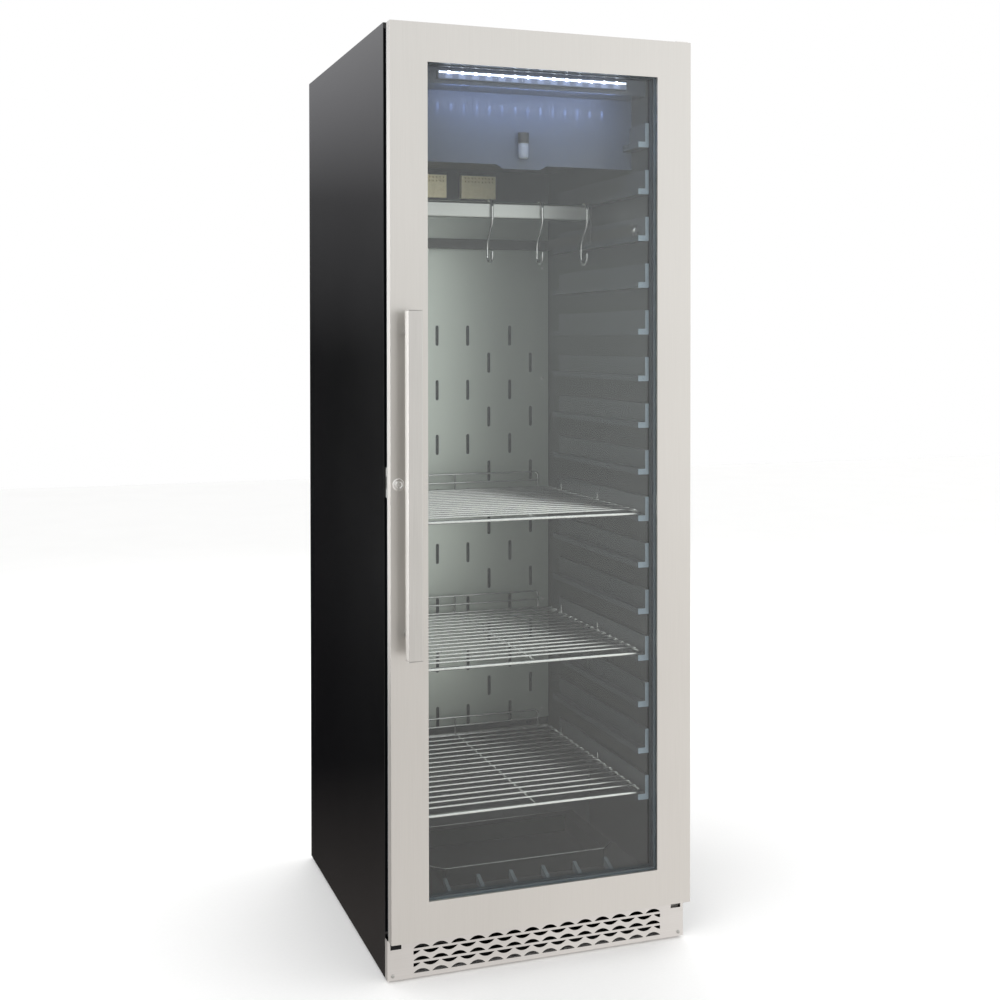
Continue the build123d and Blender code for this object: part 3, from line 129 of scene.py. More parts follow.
class Graph:
    """A node tree under way, with a short way to add nodes."""

    def __init__(self, owner: bpy.types.ID) -> None:
        """Empties the node tree of a material or a world.

        Args:
            owner: The material or the world.
        """
        owner.use_nodes = True
        self.owner = owner
        self.tree = owner.node_tree
        self.tree.nodes.clear()

    def add(self, kind: str, inputs: dict | None = None, **settings: object) -> bpy.types.Node:
        """Adds a node and fills its sockets.

        Args:
            kind: Node type without its ShaderNode prefix.
            inputs: Value or source socket for each input, by name or place.
            **settings: Properties of the node itself.

        Returns:
            The new node.
        """
        node = self.tree.nodes.new("ShaderNode" + kind)
        for name, value in settings.items():
            setattr(node, name, value)
        for key, value in (inputs or {}).items():
            if isinstance(value, Socket):
                self.tree.links.new(value, node.inputs[key])
            else:
                node.inputs[key].default_value = value
        return node

    def place(self) -> Socket:
        """The place on the object, in metres."""
        return self.add("TexCoord").outputs["Object"]

    def noise(self, where: Socket, scale: float, detail: float) -> Socket:
        """A cloudy pattern.

        Args:
            where: Coordinates that it reads.
            scale: Repeats per unit.
            detail: Number of finer layers.

        Returns:
            Its grey value.
        """
        inputs = {"Vector": where, "Scale": scale, "Detail": detail, "Roughness": NOISE_ROUGHNESS}
        return self.add("TexNoise", inputs).outputs[0]

    def stretched(self, where: Socket, scale: tuple[float, float, float]) -> Socket:
        """Coordinates scaled apart along X, Y and Z."""
        return self.add("Mapping", {"Vector": where, "Scale": scale}).outputs["Vector"]

    def mixed(self, first: Socket, second: Socket, share: float) -> Socket:
        """A blend of two grey values, with the share of the second."""
        node = self.add("Mix", {"Factor": share, 2: first, 3: second}, data_type="FLOAT")
        return node.outputs[0]

    def ranged(self, value: Socket, source: Span, target: Span = (0.0, 1.0)) -> Socket:
        """A grey value carried from one range to another, and held at its ends."""
        names = ("From Min", "From Max", "To Min", "To Max")
        return self.add("MapRange", {"Value": value, **dict(zip(names, source + target))}).outputs["Result"]

    def ramp(self, value: Socket, stops: Stops) -> Socket:
        """Colours that pass from each stop to the next.

        Args:
            value: Grey value from zero to one that the colours follow.
            stops: Value and colour of each stop, lowest first.

        Returns:
            The colour.
        """
        node = self.add("ValToRGB", {"Fac": value})
        marks = node.color_ramp.elements
        while len(marks) < len(stops):
            marks.new(0.5)  # Its place follows below.
        for mark, (position, colour) in zip(marks, stops):
            mark.position = position
            mark.color = (*colour, 1.0)
        return node.outputs["Color"]

    def steps(self, value: Socket, stops: Stops) -> Socket:
        """Colours that pass from each stop to the next, over any range of values.

        Args:
            value: What the colours follow.
            stops: Value and colour of each stop, lowest first.

        Returns:
            The colour.
        """
        first, last = stops[0][0], stops[-1][0]
        shares = tuple(((height - first) / (last - first), colour) for height, colour in stops)
        return self.ramp(self.ranged(value, (first, last)), shares)

    def bump(self, height: Socket, distance: float) -> Socket:
        """Relief from a grey value, with its height in metres."""
        return self.add("Bump", {"Height": height, "Distance": distance, "Strength": 1.0}).outputs["Normal"]

    def finish(self, shader: bpy.types.Node, output: str = "OutputMaterial") -> bpy.types.ID:
        """Links the last shader to the output.

        Args:
            shader: The node that gives the surface.
            output: Kind of the output node.

        Returns:
            The material or the world, ready to use.
        """
        end = self.add(output)
        self.tree.links.new(shader.outputs[0], end.inputs["Surface"])
        return self.owner


@dataclass(frozen=True)
class Finish:
    """A surface whose tone, gloss and relief follow a grain and a slow drift.

    Attributes:
        name: Name of the material.
        dark: Darkest base colour, linear.
        light: Lightest base colour, linear.
        grain: Direction and scale of the grain.
        gloss: Lowest and highest roughness.
        metallic: One for bare metal.
        relief: Height of the grain in metres.
        drift: Repeats per metre of the slow change of tone.
        drift_share: How much of the tone the slow change takes.
        specular: Strength of the mirror part of a non-metal.
        coat: Weight of a clear coat.
        glow: Strength of its own light.
    """

    name: str
    dark: Colour
    light: Colour
    grain: Grain = Grain.FINE
    gloss: Span = (0.4, 0.5)
    metallic: float = 0.0
    relief: float = 10 * MICRON
    drift: float = 3.0
    drift_share: float = 0.4
    specular: float = 0.5
    coat: float = 0.0
    glow: float = 0.0

    def pattern(self, graph: Graph, where: Socket) -> Socket:
        """The fine grain, as a grey value."""
        return graph.noise(graph.stretched(where, self.grain.value), scale=1.0, detail=5.0)

    @cache
    def material(self) -> bpy.types.Material:
        """The finish as a material, made once.

        Returns:
            The material.
        """
        graph = Graph(bpy.data.materials.new(self.name))
        where = graph.place()
        fine = self.pattern(graph, where)
        slow = graph.noise(where, self.drift, detail=3.0)
        tone = graph.mixed(fine, slow, self.drift_share)
        colour = graph.ramp(tone, tuple(zip(TONE_RANGE, (self.dark, self.light))))
        shader = graph.add(
            "BsdfPrincipled",
            {
                "Base Color": colour,
                "Roughness": graph.ranged(tone, NOISE_RANGE, self.gloss),
                "Normal": graph.bump(fine, self.relief),
                "Metallic": self.metallic,
                "Specular IOR Level": self.specular,
                "Coat Weight": self.coat,
            },
        )
        if self.glow:
            graph.tree.links.new(colour, shader.inputs["Emission Color"])
            shader.inputs["Emission Strength"].default_value = self.glow
        return graph.finish(shader)


@dataclass(frozen=True)
class MetalFinish(Finish):
    """Bare metal, ground or polished finer than the other surfaces."""

    metallic: float = 1.0
    relief: float = 2 * MICRON


@dataclass(frozen=True)
class SpangledFinish(MetalFinish):
    """Hot-dipped zinc: crystals of slightly different tone."""

    drift: float = 2.0

    def pattern(self, graph: Graph, where: Socket) -> Socket:
        """One grey value for each crystal."""
        cells = graph.add("TexVoronoi", {"Vector": where, "Scale": self.grain.value[0]})
        return graph.add("SeparateColor", {"Color": cells.outputs["Color"]}).outputs[0]


@dataclass(frozen=True)
class StreakedFinish(Finish):
    """Frosted plastic that a row of diodes lights in upright streaks.

    Attributes:
        pitch: Distance of the diodes, the middle two on either side of zero.
    """

    pitch: float = 26.0 * MM

    def pattern(self, graph: Graph, where: Socket) -> Socket:
        """One at each diode and zero halfway between two.

        Args:
            graph: The material's node tree.
            where: The place on the object.

        Returns:
            The grey value.
        """
        along = graph.add("SeparateXYZ", {0: where}).outputs["X"]
        turn = graph.add("Math", {0: along, 1: math.tau / self.pitch}, operation="MULTIPLY")
        wave = graph.add("Math", {0: turn.outputs[0]}, operation="COSINE")
        return graph.ranged(wave.outputs[0], (1.0, -1.0))


@dataclass(frozen=True)
class PaneFinish:
    """Clear glass that mirrors by its angle and lets lamps through.

    Attributes:
        name: Name of the material.
        tint: What passes, linear.
        mirror: Colour of the mirrored light, linear.
        index: Refractive index that sets the share of the mirror.
        smear: Lowest and highest roughness of the wiped surface.
        wipes: Repeats of the smears per metre along X, Y and Z.
    """

    name: str
    tint: Colour
    mirror: Colour
    index: float
    smear: Span
    wipes: tuple[float, float, float] = (6.0, 6.0, 1.5)

    @cache
    def material(self) -> bpy.types.Material:
        """The glass as a material, made once.

        The index is turned over behind the pane, where a ray leaves the glass.

        Returns:
            The material.
        """
        graph = Graph(bpy.data.materials.new(self.name))
        wiped = graph.noise(graph.stretched(graph.place(), self.wipes), scale=1.0, detail=4.0)
        clear = graph.add("BsdfTransparent", {"Color": (*self.tint, 1.0)})
        gloss = graph.ranged(wiped, NOISE_RANGE, self.smear)
        mirror = graph.add("BsdfAnisotropic", {"Color": (*self.mirror, 1.0), "Roughness": gloss})
        behind = graph.add("NewGeometry").outputs["Backfacing"]
        index = graph.ranged(behind, (0.0, 1.0), (self.index, 1.0 / self.index))
        share = graph.add("Fresnel", {"IOR": index})
        inputs = {0: share.outputs[0], 1: clear.outputs[0], 2: mirror.outputs[0]}
        return graph.finish(graph.add("MixShader", inputs))


BRUSHED_STEEL = MetalFinish(
    "brushed_steel", (0.615, 0.6, 0.575), (0.675, 0.66, 0.635), Grain.FINE_UPRIGHT, (0.32, 0.42),
    drift=1.3, drift_share=0.55,
)
KICK_STEEL = MetalFinish(
    "kick_steel", (0.63, 0.615, 0.6), (0.72, 0.705, 0.69), Grain.FINE_CROSSWISE, (0.34, 0.44),
    drift=4.0, drift_share=0.5,
)
BRACKET_STEEL = MetalFinish(
    "bracket_steel", (0.78, 0.765, 0.745), (0.84, 0.825, 0.81), Grain.FINE, (0.38, 0.48), metallic=0.75
)
HANDLE_STEEL = MetalFinish(
    "handle_steel", (0.56, 0.55, 0.53), (0.63, 0.62, 0.6), Grain.FINE_UPRIGHT, (0.3, 0.4),
    relief=3 * MICRON, drift=4.0, drift_share=0.3,
)
# Painted shade: a darker copy of the handle's steel, so that the posts shine less.
POST_STEEL_PAINTED_SHADE = MetalFinish(
    "post_steel_painted_shade", (0.36, 0.355, 0.34), (0.42, 0.415, 0.4), Grain.DEEP, (0.5, 0.6),
    relief=3 * MICRON, drift=4.0, drift_share=0.3,
)
SATIN_STEEL = MetalFinish(
    "satin_steel", (0.425, 0.458, 0.415), (0.44, 0.473, 0.43), Grain.FINE_CROSSWISE, (0.28, 0.3),
    metallic=0.55, relief=0.03 * MICRON, drift_share=0.6,
)
RAIL_STEEL = MetalFinish(
    "rail_steel", (0.56, 0.57, 0.55), (0.64, 0.65, 0.63), Grain.CROSSWISE, (0.3, 0.4),
    relief=3 * MICRON, drift=5.0,
)
DULL_STEEL = MetalFinish(
    "dull_steel", (0.1, 0.099, 0.094), (0.16, 0.157, 0.149), Grain.CROSSWISE, (0.38, 0.5),
    relief=4 * MICRON, drift=6.0, drift_share=0.5,
)
TRAY_STEEL = MetalFinish(
    "tray_steel", (0.036, 0.037, 0.038), (0.043, 0.044, 0.046), Grain.CROSSWISE, (0.3, 0.42),
    relief=4 * MICRON, drift=4.0, drift_share=0.5,
)
BRIGHT_WIRE = MetalFinish(
    "bright_wire", (0.72, 0.73, 0.72), (0.9, 0.9, 0.88), Grain.COARSE, (0.16, 0.28),
    relief=4 * MICRON, drift=12.0, drift_share=0.5,
)
LOCK_NICKEL = MetalFinish(
    "lock_nickel", (0.95, 0.95, 0.94), (0.98, 0.98, 0.97), Grain.FINE, (0.16, 0.22), relief=0.5 * MICRON
)
CHROME = MetalFinish(
    "chrome", (0.78, 0.78, 0.77), (0.9, 0.9, 0.89), Grain.FINE, (0.08, 0.16), relief=1 * MICRON
)
ZINC_PLATE = MetalFinish(
    "zinc_plate", (0.45, 0.45, 0.43), (0.62, 0.62, 0.6), Grain.COARSE, (0.3, 0.45), relief=5 * MICRON
)
ZINC_SHEET = SpangledFinish(
    "zinc_finish_sheet", (0.455, 0.465, 0.475), (0.515, 0.525, 0.535), Grain.SPANGLE, (0.36, 0.42),
    relief=1 * MICRON,
)
# Painted shade: zinc made near black for the base pan, which lies in shade behind the grille.
ZINC_PAINTED_SHADE = SpangledFinish(
    "zinc_painted_shade", (0.006, 0.006, 0.006), (0.011, 0.011, 0.012), Grain.COARSE, (0.6, 0.7),
    metallic=0.0, drift_share=0.35, specular=0.1,
)
ALUMINIUM = MetalFinish(
    "aluminium_finish", (0.62, 0.63, 0.64), (0.76, 0.77, 0.78), Grain.CROSSWISE, (0.32, 0.45),
    relief=5 * MICRON,
)
COPPER = MetalFinish(
    "copper_finish", (0.62, 0.26, 0.13), (0.83, 0.42, 0.25), Grain.COARSE, (0.25, 0.45),
    relief=6 * MICRON, drift=20.0,
)
COATED_BLACK = Finish(
    "coated_black", (0.0016, 0.0016, 0.0018), (0.0032, 0.0032, 0.0036), Grain.FINE, (0.11, 0.15),
    relief=1 * MICRON, drift=2.5, drift_share=0.5,
)
FRAME_BLACK = Finish(
    "frame_finish_black", (0.006, 0.006, 0.007), (0.013, 0.013, 0.014), Grain.FINE, (0.5, 0.62),
    specular=0.12,
)
# Painted light: the door's black inner frame made a pale blue-grey, where its inner sides catch light.
REVEAL_PAINTED_LIGHT = Finish(
    "reveal_painted_light", (0.042, 0.055, 0.066), (0.052, 0.066, 0.079), relief=2 * MICRON, specular=0.4
)
LINER = Finish(
    "liner_dark", (0.0185, 0.0197, 0.0208), (0.0212, 0.0226, 0.024), Grain.FINE, (0.36, 0.42),
    relief=0.3 * MICRON, drift_share=0.7, specular=0.4,
)
FLOOR_LINER = Finish(
    "liner_floor_grey", (0.047, 0.049, 0.051), (0.053, 0.055, 0.058), Grain.FINE, (0.36, 0.42),
    relief=0.3 * MICRON, drift_share=0.7, specular=0.4,
)
RUNNER = Finish(
    "runner_dark", (0.033, 0.039, 0.045), (0.038, 0.045, 0.052), Grain.FINE, (0.32, 0.38),
    relief=0.3 * MICRON,
)
# Painted light: a pale blue-grey copy of the runners' dark plastic, for their lit front ends.
RUNNER_END_PAINTED_LIGHT = Finish(
    "runner_end_painted_light", (0.33, 0.41, 0.49), (0.38, 0.47, 0.55), Grain.FINE, (0.35, 0.45), relief=2 * MICRON
)
# Painted light: a paler blue-grey copy of the liner floor, for its gussets where the light strip falls.
GUSSET_PAINTED_LIGHT = Finish("gusset_painted_light", (0.115, 0.145, 0.165), (0.13, 0.165, 0.185), relief=2 * MICRON)
# Partly painted light: the fascia's dark plastic, tinted blue and lightened for the light strip's glow on
# it.
FASCIA = Finish(
    "fascia_painted_blue_light", (0.047, 0.06, 0.088), (0.051, 0.065, 0.095), Grain.FINE, (0.24, 0.28),
    relief=0.2 * MICRON, drift_share=0.6,
)
MOULDED_BLACK = Finish("moulded_black", (0.012, 0.012, 0.013), (0.024, 0.024, 0.025), gloss=(0.45, 0.6))
MOULDED_GREY = Finish("moulded_grey", (0.2, 0.2, 0.21), (0.28, 0.28, 0.29))
ENAMEL = Finish(
    "enamel_black", (0.004, 0.004, 0.004), (0.01, 0.01, 0.01), Grain.COARSE, (0.2, 0.3),
    relief=20 * MICRON, coat=0.3,
)
SEAL = Finish(
    "seal_rubber", (0.012, 0.012, 0.012), (0.022, 0.022, 0.023), gloss=(0.6, 0.75), specular=0.25
)
ACETAL = Finish(
    "acetal_white", (0.68, 0.68, 0.66), (0.8, 0.8, 0.78), Grain.FINE, (0.35, 0.45), relief=5 * MICRON
)
FOAM = Finish(
    "rigid_foam", (0.6, 0.5, 0.28), (0.74, 0.64, 0.4), Grain.COARSE, (0.8, 0.95), relief=200 * MICRON
)
FILTER = Finish(
    "filter_case", (0.74, 0.66, 0.42), (0.92, 0.84, 0.58), Grain.COARSE, (0.6, 0.75), relief=30 * MICRON
)
PROBE = Finish(
    "probe_light", (0.2, 0.22, 0.25), (0.27, 0.29, 0.33), Grain.FINE, (0.35, 0.45), relief=5 * MICRON
)
# Partly painted light: the spacer's own grey, made lighter and bluish like the lit band beside the window.
SPACER = Finish(
    "spacer_grey_and_painted_light", (0.09, 0.115, 0.13), (0.13, 0.16, 0.18), Grain.UPRIGHT, relief=2 * MICRON
)
CHANNEL = Finish(
    "channel_satin", (0.09, 0.105, 0.14), (0.13, 0.15, 0.19), Grain.CROSSWISE, relief=1 * MICRON
)
LENS = StreakedFinish(
    "lens_frosted", (0.1, 0.12, 0.175), (0.19, 0.225, 0.32), gloss=(0.3, 0.4),
    relief=0.0, drift_share=0.15, glow=0.5,
)
STRIP = Finish(
    "strip_lit", (0.7, 0.8, 1.0), (0.84, 0.9, 1.0), Grain.CROSSWISE, (0.3, 0.4),
    relief=1 * MICRON, glow=2.4,
)
DIODE = Finish(
    "diode_lit", (0.78, 0.86, 1.0), (0.9, 0.94, 1.0), Grain.FINE, (0.3, 0.4),
    relief=1 * MICRON, glow=14.0,
)
GLASS = PaneFinish("window_glass", (0.985, 0.992, 0.99), (0.9, 0.93, 0.95), 1.39, (0.0, 0.04))
FLOOR_PALE = Finish("floor_pale", (0.95, 0.95, 0.95), (0.98, 0.98, 0.98), Grain.COARSE, (0.6, 0.7))


def placed(name: str, data: bpy.types.ID) -> bpy.types.Object:
    """Makes an object and puts it in the scene.

    Args:
        name: Name of the object.
        data: Its mesh, lamp or camera.

    Returns:
        The new object.
    """
    made = bpy.data.objects.new(name, data)
    bpy.context.scene.collection.objects.link(made)
    return made


def hung(lamp: bpy.types.Light, place: Vector, target: Vector) -> bpy.types.Object:
    """Puts a lamp in the scene, out of the camera's sight.

    Args:
        lamp: The lamp.
        place: Where it stands.
        target: What it faces.

    Returns:
        The lamp's object.
    """
    holder = placed(lamp.name, lamp)
    holder.location = place
    holder.rotation_euler = (target - place).to_track_quat("-Z", "Y").to_euler()
    holder.visible_camera = False
    return holder


def verts_of(parts: list) -> list[bmesh.types.BMVert]:
    """The vertices among what an operator returns."""
    return [part for part in parts if isinstance(part, bmesh.types.BMVert)]


class Shaper:
    """One mesh under way, made with bmesh operators."""

    def __init__(self) -> None:
        """Starts an empty mesh."""
        self.mesh = bmesh.new()

    def block(self, low: Vector, high: Vector, edge: float = 0.0, segments: int = 3) -> "Shaper":
        """Adds a box with rounded edges.

        Args:
            low: Lowest corner.
            high: Highest corner.
            edge: Radius of its edges.
            segments: Facets across each edge.

        Returns:
            The shaper itself.
        """
        made = bmesh.ops.create_cube(self.mesh, size=1.0)["verts"]
        bmesh.ops.scale(self.mesh, vec=high - low, verts=made)
        bmesh.ops.translate(self.mesh, vec=(low + high) / 2, verts=made)
        if edge:
            self.round_edges({e for v in made for e in v.link_edges}, edge, segments)
        return self

    def round_edges(self, edges: set[bmesh.types.BMEdge], width: float, segments: int) -> None:
        """Bevels edges round.

        Args:
            edges: The edges.
            width: Width of the bevel on each side.
            segments: Facets across each edge.
        """
        bmesh.ops.bevel(
            self.mesh,
            geom=list(edges),
            offset=width,
            offset_type="OFFSET",
            segments=segments,
            profile=0.5,
            affect="EDGES",
            clamp_overlap=True,
            material=-1,
        )

    def turned(
        self, foot: Vector, axis: Axis, outline: list[Span], steps: int = 32, bored: bool = False
    ) -> "Shaper":
        """Adds a solid of revolution.

        Args:
            foot: Point on the axis where heights start.
            axis: Direction of the axis.
            outline: Radius and height of each point, from the axis back to it.
            steps: Facets round the axis.
            bored: Whether the outline closes on itself, clear of the axis.

        Returns:
            The shaper itself.
        """
        points = [self.mesh.verts.new((radius, 0.0, height)) for radius, height in outline]
        pairs = list(zip(points, points[1:]))
        if bored:
            pairs.append((points[-1], points[0]))
        edges = [self.mesh.edges.new(pair) for pair in pairs]
        bmesh.ops.spin(
            self.mesh,
            geom=points + edges,
            cent=(0.0, 0.0, 0.0),
            axis=(0.0, 0.0, 1.0),
            dvec=(0.0, 0.0, 0.0),
            angle=math.tau,
            steps=steps,
            use_merge=True,
            use_duplicate=False,
        )
        made = self.reach(points[0])
        bmesh.ops.remove_doubles(self.mesh, verts=made, dist=SEAM_GAP)
        made = [v for v in made if v.is_valid]
        bmesh.ops.transform(self.mesh, matrix=Matrix.Translation(foot) @ axis.value, verts=made)
        return self

    def reach(self, start: bmesh.types.BMVert) -> list[bmesh.types.BMVert]:
        """Finds every vertex joined to one by edges.

        Args:
            start: The vertex to start from.

        Returns:
            The vertices, the first among them.
        """
        found = {start}
        waiting = [start]
        while waiting:
            for edge in waiting.pop().link_edges:
                for vert in edge.verts:
                    if vert not in found:
                        found.add(vert)
                        waiting.append(vert)
        return list(found)

    def copied(self, node: str) -> "Shaper":
        """Adds a merged copy of a CAD node's mesh, its flat faces made whole.

        Args:
            node: Name of the node.

        Returns:
            The shaper itself.
        """
        self.mesh.from_mesh(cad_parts[node].data)
        bmesh.ops.remove_doubles(self.mesh, verts=self.mesh.verts, dist=COPY_GAP)
        bmesh.ops.dissolve_limit(
            self.mesh, angle_limit=FLAT_TURN, verts=self.mesh.verts, edges=self.mesh.edges
        )
        return self

    def soften(self, width: float, turn: float = SHARP_TURN) -> "Shaper":
        """Rounds every sharp edge.

        Args:
            width: Width of the bevel on each side.
            turn: Edges that turn by more are sharp.

        Returns:
            The shaper itself.
        """
        closed = [e for e in self.mesh.edges if len(e.link_faces) == 2]
        self.round_edges({e for e in closed if e.calc_face_angle(0.0) > turn}, width, segments=2)
        return self

    def loose(self) -> bpy.types.Object:
        """Moves the mesh into a passing object.

        Returns:
            The object, which the caller removes.
        """
        bmesh.ops.recalc_face_normals(self.mesh, faces=self.mesh.faces)
        data = bpy.data.meshes.new("passing")
        self.mesh.to_mesh(data)
        self.mesh.clear()
        return placed("passing", data)

    def cut(self, tool: "Shaper") -> "Shaper":
        """Takes another shape away from this one.

        Args:
            tool: The shape that is taken away, and used up.

        Returns:
            The shaper itself.
        """
        body, cutter = self.loose(), tool.loose()
        tool.mesh.free()
        step = body.modifiers.new("cut", "BOOLEAN")
        step.operation = "DIFFERENCE"
        step.solver = "EXACT"
        step.object = cutter
        graph = bpy.context.evaluated_depsgraph_get()
        data = bpy.data.meshes.new_from_object(body.evaluated_get(graph))
        self.mesh.from_mesh(data)
        for made in (body.data, cutter.data, data):
            bpy.data.meshes.remove(made)
        return self

    def repeated(self, places: list[Vector]) -> "Shaper":
        """Puts a copy of the whole mesh at each place, and drops the pattern.

        Args:
            places: How far each copy is moved.

        Returns:
            The shaper itself.
        """
        pattern = self.mesh.verts[:] + self.mesh.edges[:] + self.mesh.faces[:]
        verts = self.mesh.verts[:]
        for place in places:
            copied = bmesh.ops.duplicate(self.mesh, geom=pattern)["geom"]
            bmesh.ops.translate(self.mesh, vec=place, verts=verts_of(copied))
        bmesh.ops.delete(self.mesh, geom=verts, context="VERTS")
        return self

    def front_faces(self, depth: float) -> "Shaper":
        """Keeps only the foremost faces and draws them forward into plates.

        Args:
            depth: Thickness of the plates.

        Returns:
            The shaper itself.
        """
        nearest = min(vert.co.y for vert in self.mesh.verts)
        facing = {f for f in self.mesh.faces if f.normal.y <= FORWARD_Y}
        foremost = {f for f in facing if f.calc_center_median().y <= nearest + MM}
        others = [f for f in self.mesh.faces if f not in foremost]
        bmesh.ops.delete(self.mesh, geom=others, context="FACES")
        faces = self.mesh.faces[:]
        drawn = bmesh.ops.extrude_face_region(self.mesh, geom=faces, use_keep_orig=True)["geom"]
        bmesh.ops.translate(self.mesh, vec=(0.0, -depth, 0.0), verts=verts_of(drawn))
        return self

    def keep_islands(self, floor: float) -> "Shaper":
        """Keeps only the separate solids that reach above a height.

        Args:
            floor: The height.

        Returns:
            The shaper itself.
        """
        waiting = set(self.mesh.verts)
        while waiting:
            island = self.reach(next(iter(waiting)))
            waiting.difference_update(island)
            if max(vert.co.z for vert in island) < floor:
                bmesh.ops.delete(self.mesh, geom=island, context="VERTS")
        return self

    def swell(self, skin: float) -> "Shaper":
        """Moves every face outwards.

        Args:
            skin: How far the faces move.

        Returns:
            The shaper itself.
        """
        bmesh.ops.recalc_face_normals(self.mesh, faces=self.mesh.faces)
        self.mesh.normal_update()
        moves = [(vert, vert.normal * vert.calc_shell_factor() * skin) for vert in self.mesh.verts]
        for vert, move in moves:
            vert.co += move
        return self

    def piece(self, name: str, finish: Finish, body: Body, slot: Slot, *nodes: str) -> bpy.types.Object:
        """Ends the mesh as one piece of the cabinet.

        Args:
            name: Name of the piece.
            finish: Its finish.
            body: CAD body that it rides on.
            slot: The record's material slot; not used.
            *nodes: CAD nodes that it stands for.

        Returns:
            The new object.
        """
        bmesh.ops.recalc_face_normals(self.mesh, faces=self.mesh.faces)
        data = bpy.data.meshes.new(name)
        self.mesh.to_mesh(data)
        self.mesh.free()
        data.shade_smooth()
        data.set_sharp_from_angle(angle=SMOOTH_TURN)
        for face in data.polygons:
            face.use_smooth = face.area < FLAT_AREA
        data.materials.append(finish.material())
        made = placed(name, data)
        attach(made, body.value)
        if nodes:
            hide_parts(*nodes)
        LOG.info("%s: %d faces on %s", name, len(data.polygons), body.value)
        return made


def dress(finish: Finish | PaneFinish, *nodes: str) -> None:
    """Gives CAD nodes that keep their shape a finish.

    Args:
        finish: The finish.
        *nodes: Names of the nodes.
    """
    for node in nodes:
        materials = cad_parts[node].data.materials
        materials.clear()
        materials.append(finish.material())
        LOG.info("%s: wears %s", node, finish.name)


def softened(node: str, finish: Finish, body: Body, slot: Slot, width: float) -> bpy.types.Object:
    """A copy of a CAD node with its sharp edges rounded, which stands for it."""
    return Shaper().copied(node).soften(width).piece(node + "_shape", finish, body, slot, node)


@dataclass
class Casing:
    """Outer sheets of the body, its base and its feet."""

    sheet_edge: float = 0.4 * MM

    def build(self) -> None:
        """Builds and dresses the casing."""
        for node in ("left_side_panel", "right_side_panel", "top_panel"):
            softened(node, COATED_BLACK, Body.CABINET, Slot.CASING, self.sheet_edge)
        dress(ZINC_SHEET, "rear_panels")
        # The base pan is painted near black, as the shade behind the grille.
        dress(ZINC_PAINTED_SHADE, "base_pan")
        dress(FOAM, "insulation_foam")
        dress(FRAME_BLACK, "front_frame")
        feet = (f"foot_{end}_{side}" for end in ("front", "rear") for side in ("left", "right"))
        dress(MOULDED_BLACK, *feet)


@dataclass
class Chamber:
    """Liner, air panel, filters, fascia, light and probe."""

    diode_pitch: float = 26.0 * MM
    diode_size: float = 4.6 * MM
    diode_height: float = 1.0 * MM
    diode_edge: float = 0.2 * MM
    diode_rise: float = 4.2 * MM
    diode_facets: int = 2
    strip_height: float = 3.4 * MM
    runner_plate: float = 0.6 * MM
    gusset_floor: float = 6.0 * MM
    gusset_skin: float = 0.3 * MM
    fascia_edge: float = 0.5 * MM

    def build(self) -> None:
        """Builds and dresses the chamber."""
        dress(LINER, "inner_liner")
        dress(FLOOR_LINER, "liner_floor", "liner_step")
        # Skins of painted light on the gussets.
        self.gussets()
        dress(RUNNER, "shelf_runners")
        dress(SATIN_STEEL, "rear_air_panel")
        dress(MOULDED_BLACK, "upper_duct_cover", "drip_tray", "probe_holder")
        dress(PROBE, "humidity_probe")
        dress(FILTER, "carbon_filters")
        dress(ALUMINIUM, "evaporator_coil")
        dress(CHANNEL, "led_channel")
        dress(LENS, "led_lens")
        # The fascia's blue tint is partly painted light from the light strip.
        softened("fascia_panel", FASCIA, Body.CABINET, Slot.FASCIA, self.fascia_edge)
        low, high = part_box("led_lens")
        middle_z = (low.z + high.z) / 2 + self.diode_rise
        self.strip(low, high, middle_z)
        self.diodes(low, high, middle_z)
        # Plates of painted light on the runners' front ends.
        self.runner_ends_painted_light()

    def gussets(self) -> bpy.types.Object:
        """Slightly paler blue-grey skins on the gussets behind the sill: painted light from the light strip
        on the ribs of the liner's floor.

        Returns:
            The new piece.
        """
        low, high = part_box("liner_floor")
        shaper = Shaper().copied("liner_floor").keep_islands(low.z + self.gusset_floor)
        shaper.swell(self.gusset_skin)
        return shaper.piece("gusset_painted_light_skins", GUSSET_PAINTED_LIGHT, Body.CABINET, Slot.LINER)

    def runner_ends_painted_light(self) -> bpy.types.Object:
        """Pale blue-grey plates on the front ends of the shelf runners: painted light on the runners' own
        dark plastic, where their front faces catch the light.
        """
        caps = Shaper().copied("shelf_runners").front_faces(self.runner_plate)
        return caps.piece("runner_ends_painted_light", RUNNER_END_PAINTED_LIGHT, Body.CABINET, Slot.LINER)

    def strip(self, low: Vector, high: Vector, middle_z: float) -> bpy.types.Object:
        """The lit strip on the front of the light's lens.

        Args:
            low: Lowest corner of the lens.
            high: Highest corner of the lens.
            middle_z: Height of the strip's middle.

        Returns:
            The new piece.
        """
        rise = self.strip_height / 2
        foot = Vector((low.x, low.y - self.diode_height / 2, middle_z - rise))
        head = Vector((high.x, low.y, middle_z + rise))
        shaper = Shaper().block(foot, head, self.diode_edge, self.diode_facets)
        return shaper.piece("light_strip", STRIP, Body.CABINET, Slot.LENS)

    def diodes(self, low: Vector, high: Vector, middle_z: float) -> bpy.types.Object:
        """The row of diodes on the strip.

        Args:
            low: Lowest corner of the lens.
            high: Highest corner of the lens.
            middle_z: Height of the row.

        Returns:
            The new piece.
        """
        count = int((high.x - low.x) / self.diode_pitch)
        first = (low.x + high.x - (count - 1) * self.diode_pitch) / 2
        size = Vector((self.diode_size, self.diode_height, self.diode_size))
        foot = Vector((first - size.x / 2, low.y - size.y, middle_z - size.z / 2))
        shaper = Shaper()
        for number in range(count):
            corner = foot + Vector((number * self.diode_pitch, 0.0, 0.0))
            shaper.block(corner, corner + size, self.diode_edge, self.diode_facets)
        return shaper.piece("light_diodes", DIODE, Body.CABINET, Slot.LENS)


